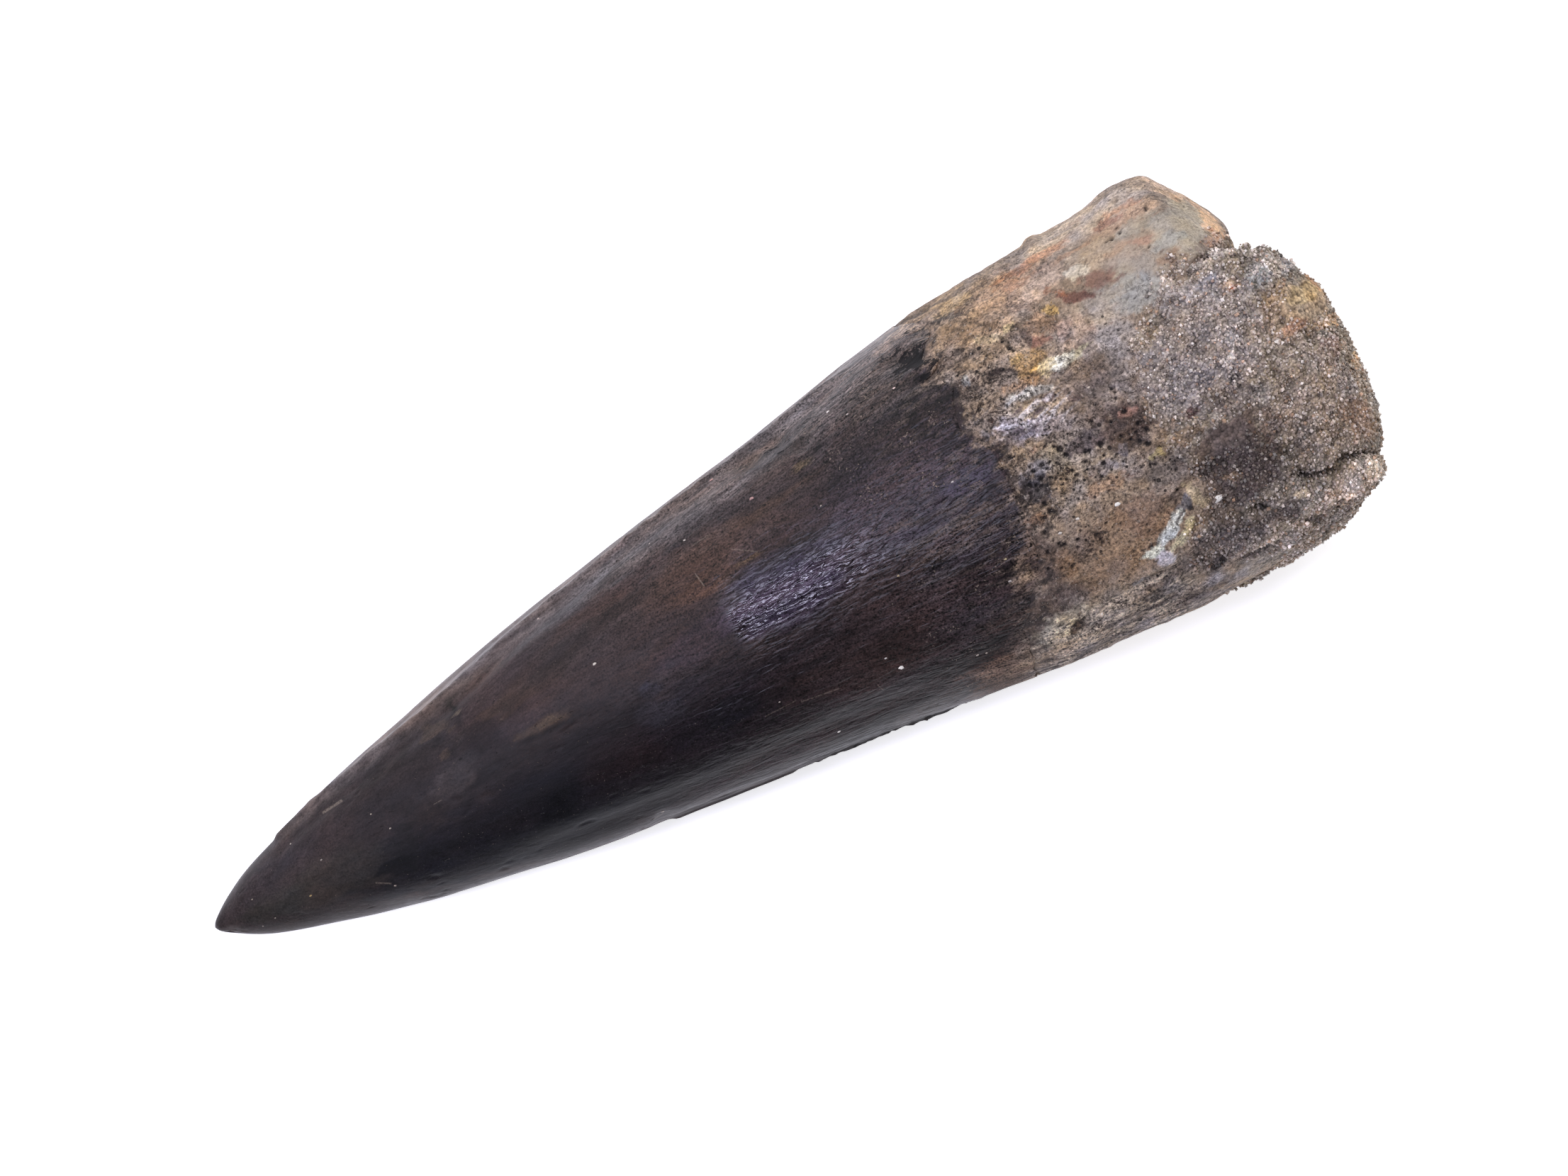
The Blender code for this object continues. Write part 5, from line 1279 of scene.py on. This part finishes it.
def sandGrainParts(draw):
    # eight-sided grains: their corners in metres, faces and a colour for each corner
    centre, normal, area, (ground, seen) = facesOf(filling, [sandTints, sandShown])
    weight = area * ramp((seen - 0.2) / 0.6)
    centreB, normalB, areaB, (groundB, borderB) = facesOf(bone, [boneTints, boneBorder])
    drift = ramp((1.7 + 1.2 * roughness(centreB, 1.6, 2, 91) - borderB) / 2.2) ** 2 * (borderB > -0.4)
    weight = np.concatenate([weight, grains["onBone"] * areaB * drift])
    centre = np.vstack([centre, centreB])
    normal = np.vstack([normal, normalB])
    ground = np.vstack([ground, groundB])
    weight *= np.where(normal[:, 2] < -0.5, 0.4, 1.0) * (centre[:, 2] > 0.2)
    count = grains["count"]
    picked = draw.choice(len(weight), count, p=weight / weight.sum())
    small, large = grains["size"]
    sizes = small + (large - small) * draw.random(count) ** 1.8
    base = centre[picked] + draw.normal(size=(count, 3)) * grains["stray"]
    base = base + normal[picked] * (sizes * grains["standing"])[:, None]
    ground = ground[picked]
    names = np.array([shade(text) for text, _ in grains["palette"]])
    share = np.array([amount for _, amount in grains["palette"]])
    own = names[draw.choice(len(names), count, p=share / share.sum())]
    follow = np.where(draw.random((count, 1)) < grains["bright"], 0.25, grains["follow"])
    own = own * (ground.mean(axis=1, keepdims=True) / 0.30) ** follow
    tints = ground * 1.1 + (own - ground * 1.1) * grains["ownShare"]
    tints *= np.exp(0.20 * draw.normal(size=(count, 1)) + 0.14 * roughness(base, 0.7, 2, 93)[:, None])
    corners = np.array([(1, 0, 0), (-1, 0, 0), (0, 1, 0), (0, -1, 0), (0, 0, 1), (0, 0, -1)], dtype=float)
    faces = np.array([(0, 2, 4), (2, 1, 4), (1, 3, 4), (3, 0, 4), (2, 0, 5), (1, 2, 5), (3, 1, 5), (0, 3, 5)])
    shapes = corners * (0.75 + 0.5 * draw.random((count, 6, 1))) * sizes[:, None, None]
    shapes = np.einsum("nij,nkj->nki", turned(draw, count), shapes) + base[:, None, :]
    shapes[..., 2] = np.maximum(shapes[..., 2], 0.0)
    faces = (faces[None] + (np.arange(count) * 6)[:, None, None]).reshape(-1, 3)
    return shapes.reshape(-1, 3) * mm, faces, np.repeat(tints, 6, axis=0)


def speckParts(start):
    # small uneven lumps, each on the surface that lies uppermost there
    form = bmesh.new()
    bmesh.ops.create_icosphere(form, subdivisions=2, radius=1.0)
    ballPoints = np.array([v.co[:] for v in form.verts])
    ballFaces = np.array([[v.index for v in f.verts] for f in form.faces])
    form.free()
    for s, q, size, text in specks:
        spot = Vector(toFrame(np.array([s, -q, 100.0])))
        hits = [(*piece.ray_cast(spot, Vector((0, 0, -1))), piece) for piece in (crown, bone, filling)]
        _, spot, facing, _, carrier = max((hit for hit in hits if hit[0]), key=lambda hit: hit[1].z)
        rough = 1 + 0.4 * hills(ballPoints * 1.3 + s, 1.0, 81)
        size = size * (0.55 if carrier == crown else 0.85)
        local = ballPoints * rough[:, None] * size * np.array(grains["speckForm"])
        local = local @ np.array(Vector((0, 0, 1)).rotation_difference(facing).to_matrix()).T
        yield local * mm + np.array(spot[:]), ballFaces + start, np.tile(shade(text), (len(ballPoints), 1))
        start += len(ballPoints)


print("grains")
parts = [sandGrainParts(np.random.default_rng(7))]
parts += speckParts(len(parts[0][0]))
vertices, faces, tints = (np.vstack(rows) for rows in zip(*parts))
sandGrains = asObject("sand_grains", vertices, faces.tolist())
store(sandGrains, "tint", tints)


# materials

class Wire:
    # a node's output; arithmetic on it adds Math nodes
    def __init__(self, maker, socket):
        self.maker = maker
        self.socket = socket

    def maths(self, operation, first, second):
        return self.maker.node("ShaderNodeMath", {"operation": operation}, {0: first, 1: second})

    def __add__(self, other):
        return self.maths("ADD", self, other)

    def __sub__(self, other):
        return self.maths("SUBTRACT", self, other)

    def __mul__(self, other):
        return self.maths("MULTIPLY", self, other)

    def __rsub__(self, other):
        return self.maths("SUBTRACT", other, self)

    __radd__ = __add__
    __rmul__ = __mul__

    def above(self, low, high):
        # 0 below low, 1 above high, smooth between
        return self.maker.node("ShaderNodeMapRange", {"interpolation_type": "SMOOTHSTEP"},
                               {0: self, 1: low, 2: high})


class Finish:
    # a material in the making
    def __init__(self, name):
        self.material = bpy.data.materials.new(name)
        self.material.use_nodes = True
        self.tree = self.material.node_tree
        self.shader = self.tree.nodes["Principled BSDF"]
        self.place = self.node("ShaderNodeTexCoord", {}, {}, "Object")

    def node(self, kind, settings, inputs, output=0):
        made = self.tree.nodes.new(kind)
        for name, value in settings.items():
            setattr(made, name, value)
        for name, value in inputs.items():
            self.join(value, made.inputs[name])
        return Wire(self, made.outputs[output])

    def join(self, value, socket):
        if isinstance(value, Wire):
            self.tree.links.new(value.socket, socket)
        else:
            socket.default_value = value

    def read(self, name, output="Fac"):
        return self.node("ShaderNodeAttribute", {"attribute_name": name}, {}, output)

    def vector(self, operation, first, second, output=0):
        return self.node("ShaderNodeVectorMath", {"operation": operation}, {0: first, 1: second}, output)

    def scaled(self, vector, factor):
        return self.node("ShaderNodeVectorMath", {"operation": "SCALE"}, {"Vector": vector, "Scale": factor})

    def stretched(self, along=1.0):
        # coordinates in millimetres, with patterns drawn out along X
        return self.node("ShaderNodeMapping", {}, {
            "Vector": self.place, "Scale": (1000.0 / along, 1000.0, 1000.0)})

    def clouds(self, place, size, detail=2.0, rough=0.55, twist=0.0):
        # noise from -0.5 to 0.5
        return self.node("ShaderNodeTexNoise", {}, {
            "Vector": place, "Scale": 1.0 / size, "Detail": detail, "Roughness": rough,
            "Distortion": twist}) - 0.5

    def cells(self, place, size):
        # for each cell of a packing: how far off its middle is, and a random number
        inputs = {"Vector": place, "Scale": 1.0 / size}
        gap = self.node("ShaderNodeTexVoronoi", {}, inputs, "Distance")
        lot = self.node("ShaderNodeTexVoronoi", {}, inputs, "Color")
        return gap, self.node("ShaderNodeSeparateColor", {}, {0: lot})

    def mix(self, factor, first, text):
        # lays the colour written in text over the first
        return self.node("ShaderNodeMix", {"data_type": "RGBA"}, {0: factor, 6: first, 7: linear(text)}, 2)

    def bump(self, height, distance, strength=0.9):
        return self.node("ShaderNodeBump", {}, {"Height": height, "Distance": distance, "Strength": strength})

    def set(self, **inputs):
        for name, value in inputs.items():
            self.join(value, self.shader.inputs[name.replace("_", " ")])


def linear(text):
    return (*shade(text), 1.0)


enamelLook = {
    "roughness": 0.39,
    "polish": 0.22,  # how much smoother the polished stretch is
    "wear": 0.4,  # and how much rougher the worn places are
    "relief": 0.00010,  # metres
    "ior": 1.28,
    "dust": "8d7e70",
    "nicks": "0b0a0a",
    "chips": "0c0b0d",
    "scratches": "8d8073",
    "scratchesAbove": (0.0055, 0.007),  # metres over the ground
}


def scratchMarks(finish):
    # 1 on each scratch, 0 off it
    flat = finish.vector("MULTIPLY", finish.place, (1000.0, 1000.0, 0.0))
    marks = 0.0
    for (s0, q0), (s1, q1), breadth, strength in scratches:
        start = Vector((s0 - tooth["footprint"][0], -q0 - tooth["footprint"][1], 0))
        way = Vector((s1 - s0, q0 - q1, 0))
        here = finish.vector("SUBTRACT", flat, start)
        run = finish.vector("DOT_PRODUCT", here, way / way.length_squared, "Value")
        run = finish.node("ShaderNodeClamp", {}, {"Value": run})
        gap = finish.vector("DISTANCE", here, finish.scaled(way, run), "Value")
        marks = marks + (1 - gap.above(breadth * 0.3, breadth * 1.3)) * strength
    high = finish.node("ShaderNodeSeparateXYZ", {}, {0: finish.place}, 2)
    return marks * high.above(*enamelLook["scratchesAbove"])


def enamelFinish():
    finish = Finish("fossil_enamel")
    plain = finish.stretched()
    wrinkled, polish = finish.read("wrinkled"), finish.read("polish")
    streaks = finish.clouds(finish.stretched(9.0), 0.42, 4.0, 0.65, 0.2)
    mottle = finish.clouds(plain, 0.8, 5.0, 0.7)
    fine = finish.clouds(plain, 0.16, 2.0, 0.65)
    fibres = finish.clouds(finish.stretched(4.0), 0.20, 3.0, 0.6, 0.5)
    grain = (0.6 * mottle + 3.0 * fine + 2.0 * fibres) * (0.30 + wrinkled)
    colour = finish.scaled(finish.read("tint", "Color"), 1.0 + 1.2 * streaks + grain)
    gritty = wrinkled.above(0.92, 1.42) * finish.clouds(plain, 2.4, 4.0, 0.65).above(-0.04, 0.14)
    dust = (finish.clouds(plain, 0.20, 2.0, 0.5) + 0.10 * gritty).above(0.20, 0.26)
    colour = finish.mix(dust * (0.2 + 0.5 * gritty), colour, enamelLook["dust"])
    nicks = finish.clouds(finish.stretched(2.0), 0.32, 3.0, 0.6).above(0.17, 0.22)
    colour = finish.mix(nicks * 0.6, colour, enamelLook["nicks"])
    chips = finish.clouds(finish.stretched(1.5), 0.9, 5.0, 0.7) + 0.22 * finish.read("chipped")
    chips = chips.above(0.24, 0.27)
    colour = finish.mix(chips * 0.9, colour, enamelLook["chips"])
    marks = scratchMarks(finish) * (0.3 + 0.7 * fine.above(-0.12, 0.05))
    colour = finish.mix(marks * 0.5, colour, enamelLook["scratches"])
    ripples = finish.clouds(finish.stretched(7.0), 0.36, 1.0, 0.5, 0.5)
    ridges = finish.clouds(finish.stretched(3.0), 0.20, 1.0, 0.5, 0.4)
    height = (ripples * (1.0 + 0.4 * polish) + 0.25 * ridges) * wrinkled
    height = height + 0.05 * fine - 0.3 * nicks + 0.1 * dust - 0.8 * chips
    matt = enamelLook["roughness"] + 0.3 * mottle + 0.2 * fine - enamelLook["polish"] * polish
    matt = matt + 0.15 * dust + enamelLook["wear"] * finish.read("worn") + 0.3 * chips
    finish.set(Base_Color=colour, Roughness=matt, Specular_IOR_Level=0.55, IOR=enamelLook["ior"],
               Normal=finish.bump(height, enamelLook["relief"]))
    return finish.material


boneLook = {
    "roughness": 0.74,
    "gloss": 0.32,  # how much smoother the wrinkled patch is
    "relief": 0.00028,
    "hairlines": "3a2c27",
    "flecks": "2a211e",
    "pale": "d0c2b4",
    "rust": "96603f",
    "holes": "120e0e",
    "holeCells": [(0.55, 0.18, 0.24), (1.05, 0.14, 0.18)],  # cell, inner and outer edge
}


def boneFinish():
    finish = Finish("fossil_root")
    plain = finish.stretched()
    lively, porous = finish.read("lively"), finish.read("porous")
    mottle = finish.clouds(plain, 0.8, 6.0, 0.75)
    fibres = finish.clouds(finish.stretched(3.0), 0.34, 4.0, 0.65, 0.3)
    fine = finish.clouds(plain, 0.17, 2.0, 0.8)
    speck = finish.clouds(plain, 0.28, 1.0, 0.5)
    grain = lively * (1.2 * mottle + 1.2 * fibres + 2.6 * fine + 2.0 * speck)
    colour = finish.scaled(finish.read("tint", "Color"), 1.04 + grain)
    lines = finish.clouds(plain, 1.3, 5.0, 0.65, 1.2)
    lines = 1 - finish.node("ShaderNodeMath", {"operation": "ABSOLUTE"}, {0: lines}).above(0.006, 0.022)
    lines = lines * finish.clouds(plain, 2.2, 2.0, 0.5).above(0.02, 0.12)
    colour = finish.mix(lines * lively * 0.75, colour, boneLook["hairlines"])
    flecks = finish.clouds(plain, 0.26, 3.0, 0.7).above(0.09, 0.12)
    colour = finish.mix(flecks * lively * 0.45, colour, boneLook["flecks"])
    pale = finish.clouds(plain, 0.30, 4.0, 0.7).above(0.10, 0.15)
    colour = finish.mix(pale * lively * 0.38, colour, boneLook["pale"])
    rust = finish.clouds(finish.stretched(2.4), 1.1, 4.0, 0.65).above(0.12, 0.22)
    colour = finish.mix(rust * 0.20, colour, boneLook["rust"])
    holes = 0.0
    for cell, small, large in boneLook["holeCells"]:
        gap, lot = finish.cells(plain, cell)
        holes = holes + (1 - gap.above(small, large)) * (lot + 0.5 * porous).above(1.06, 1.08)
    colour = finish.mix(holes * 0.85, colour, boneLook["holes"])
    height = mottle + 0.5 * fibres + 0.6 * fine - 0.6 * holes - 0.35 * lines - 0.3 * flecks
    finish.set(Base_Color=colour, Specular_IOR_Level=0.35,
               Roughness=boneLook["roughness"] + 0.5 * mottle - boneLook["gloss"] * finish.read("glossy"),
               Normal=finish.bump(height * (0.3 + 0.7 * lively), boneLook["relief"]))
    return finish.material


sandLook = {"roughness": 0.85, "relief": 0.00022, "cell": 1 / 4.2}


def sandstoneFinish():
    finish = Finish("sandstone")
    plain = finish.stretched()
    mottle = finish.clouds(plain, 0.9, 5.0, 0.7)
    gap, lot = finish.cells(plain, sandLook["cell"])
    # darker towards each cell's edge: painted shade between the grains
    colour = finish.scaled(finish.read("tint", "Color"), 0.85 + 1.4 * mottle + 0.7 * lot - 0.7 * gap)
    height = (mottle - gap * 0.9) * (1 - 0.7 * finish.read("smooth"))
    finish.set(Base_Color=colour, Roughness=sandLook["roughness"] + 0.3 * mottle, Specular_IOR_Level=0.3,
               Normal=finish.bump(height, sandLook["relief"]))
    return finish.material


grainLook = {"roughness": 0.6, "relief": 0.00003}


def grainFinish():
    finish = Finish("sand")
    fine = finish.clouds(finish.stretched(), 0.08, 2.0, 0.6)
    colour = finish.scaled(finish.read("tint", "Color"), 1.0 + 0.6 * fine)
    finish.set(Base_Color=colour, Roughness=grainLook["roughness"] + 0.3 * fine, Specular_IOR_Level=0.4,
               Normal=finish.bump(fine, grainLook["relief"], 0.5))
    return finish.material


print("materials")
for piece, material in ((crown, enamelFinish()), (bone, boneFinish()),
                        (filling, sandstoneFinish()), (sandGrains, grainFinish())):
    piece.data.materials.append(material)
    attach(piece, "root")
    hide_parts("tooth")


# floor, light and camera

studio = {
    "floor": "eeeef0",
    "floorGlow": 0.78,
    "floorSize": 6.0,
    "air": (0.17, 0.17, 0.185),
    # name, way to it (X, Y, Z), how far, size, brightness, colour
    "lights": [
        ("key", (-0.42, 0.14, 0.90), 1.0, (0.11, 0.45), 37.0, (0.78, 0.76, 1.0)),
        ("wall", (-0.10, 0.85, 0.52), 1.3, (1.6, 1.0), 1.2, (0.98, 0.98, 1.0)),
        ("window", (0.62, 0.46, 0.64), 1.1, (0.6, 0.6), 4.6, (1.0, 0.985, 0.97)),
        ("fill", (-0.80, -0.10, 0.60), 1.2, (1.0, 0.6), 0.7, (1.0, 0.99, 0.98)),
    ],
    "aim": (0.004, 0.001, 0.015),
    "cameraHigh": 0.9,
    "middleHigh": 0.009,  # the height at which the scale below holds
    "frameWidth": 2212,
    "sensor": 36.0,
    "scale": 0.05521,  # millimetres a pixel
    "turn": -28.94,
    "view": (52.06, -1.44),  # what the middle of the picture looks at, along and across
}


def softLight(name, way, far, size, brightness, colour):
    lamp = bpy.data.lights.new(name, "AREA")
    lamp.shape = "RECTANGLE"
    lamp.size, lamp.size_y = size
    lamp.energy = brightness * math.pi * size[0] * size[1]
    lamp.color = colour
    light = bpy.data.objects.new(name, lamp)
    light.location = Vector(studio["aim"]) + Vector(way).normalized() * far
    light.rotation_euler = (-Vector(way)).to_track_quat("-Z", "Y").to_euler()
    bpy.context.scene.collection.objects.link(light)


print("studio")
bpy.ops.mesh.primitive_plane_add(size=studio["floorSize"])
floor = bpy.context.object
floor.name = "floor"
finish = Finish("floor")
pale = linear(studio["floor"])
finish.set(Base_Color=pale, Roughness=0.8, Emission_Color=pale, Emission_Strength=studio["floorGlow"])
floor.data.materials.append(finish.material)
floor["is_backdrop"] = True

world = bpy.data.worlds.new("air")
world.use_nodes = True
world.node_tree.nodes["Background"].inputs[0].default_value = (*studio["air"], 1)
bpy.context.scene.world = world
for light in studio["lights"]:
    softLight(*light)

camera = bpy.data.objects.new("camera", bpy.data.cameras.new("camera"))
bpy.context.scene.collection.objects.link(camera)
camera.data.sensor_width = studio["sensor"]
camera.data.lens = studio["sensor"] * studio["cameraHigh"] / (studio["frameWidth"] * studio["scale"] * mm)
camera.location = (
    (studio["view"][0] - tooth["footprint"][0]) * mm,
    (-studio["view"][1] - tooth["footprint"][1]) * mm,
    studio["cameraHigh"] + studio["middleHigh"],
)
camera.rotation_euler = (0.0, 0.0, math.radians(studio["turn"]))
bpy.context.scene.camera = camera
bpy.context.scene.view_settings.view_transform = "Standard"

low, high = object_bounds()
{"cad": [list(cadLow), list(cadHigh)], "visual": [list(low), list(high)]}
print("done")
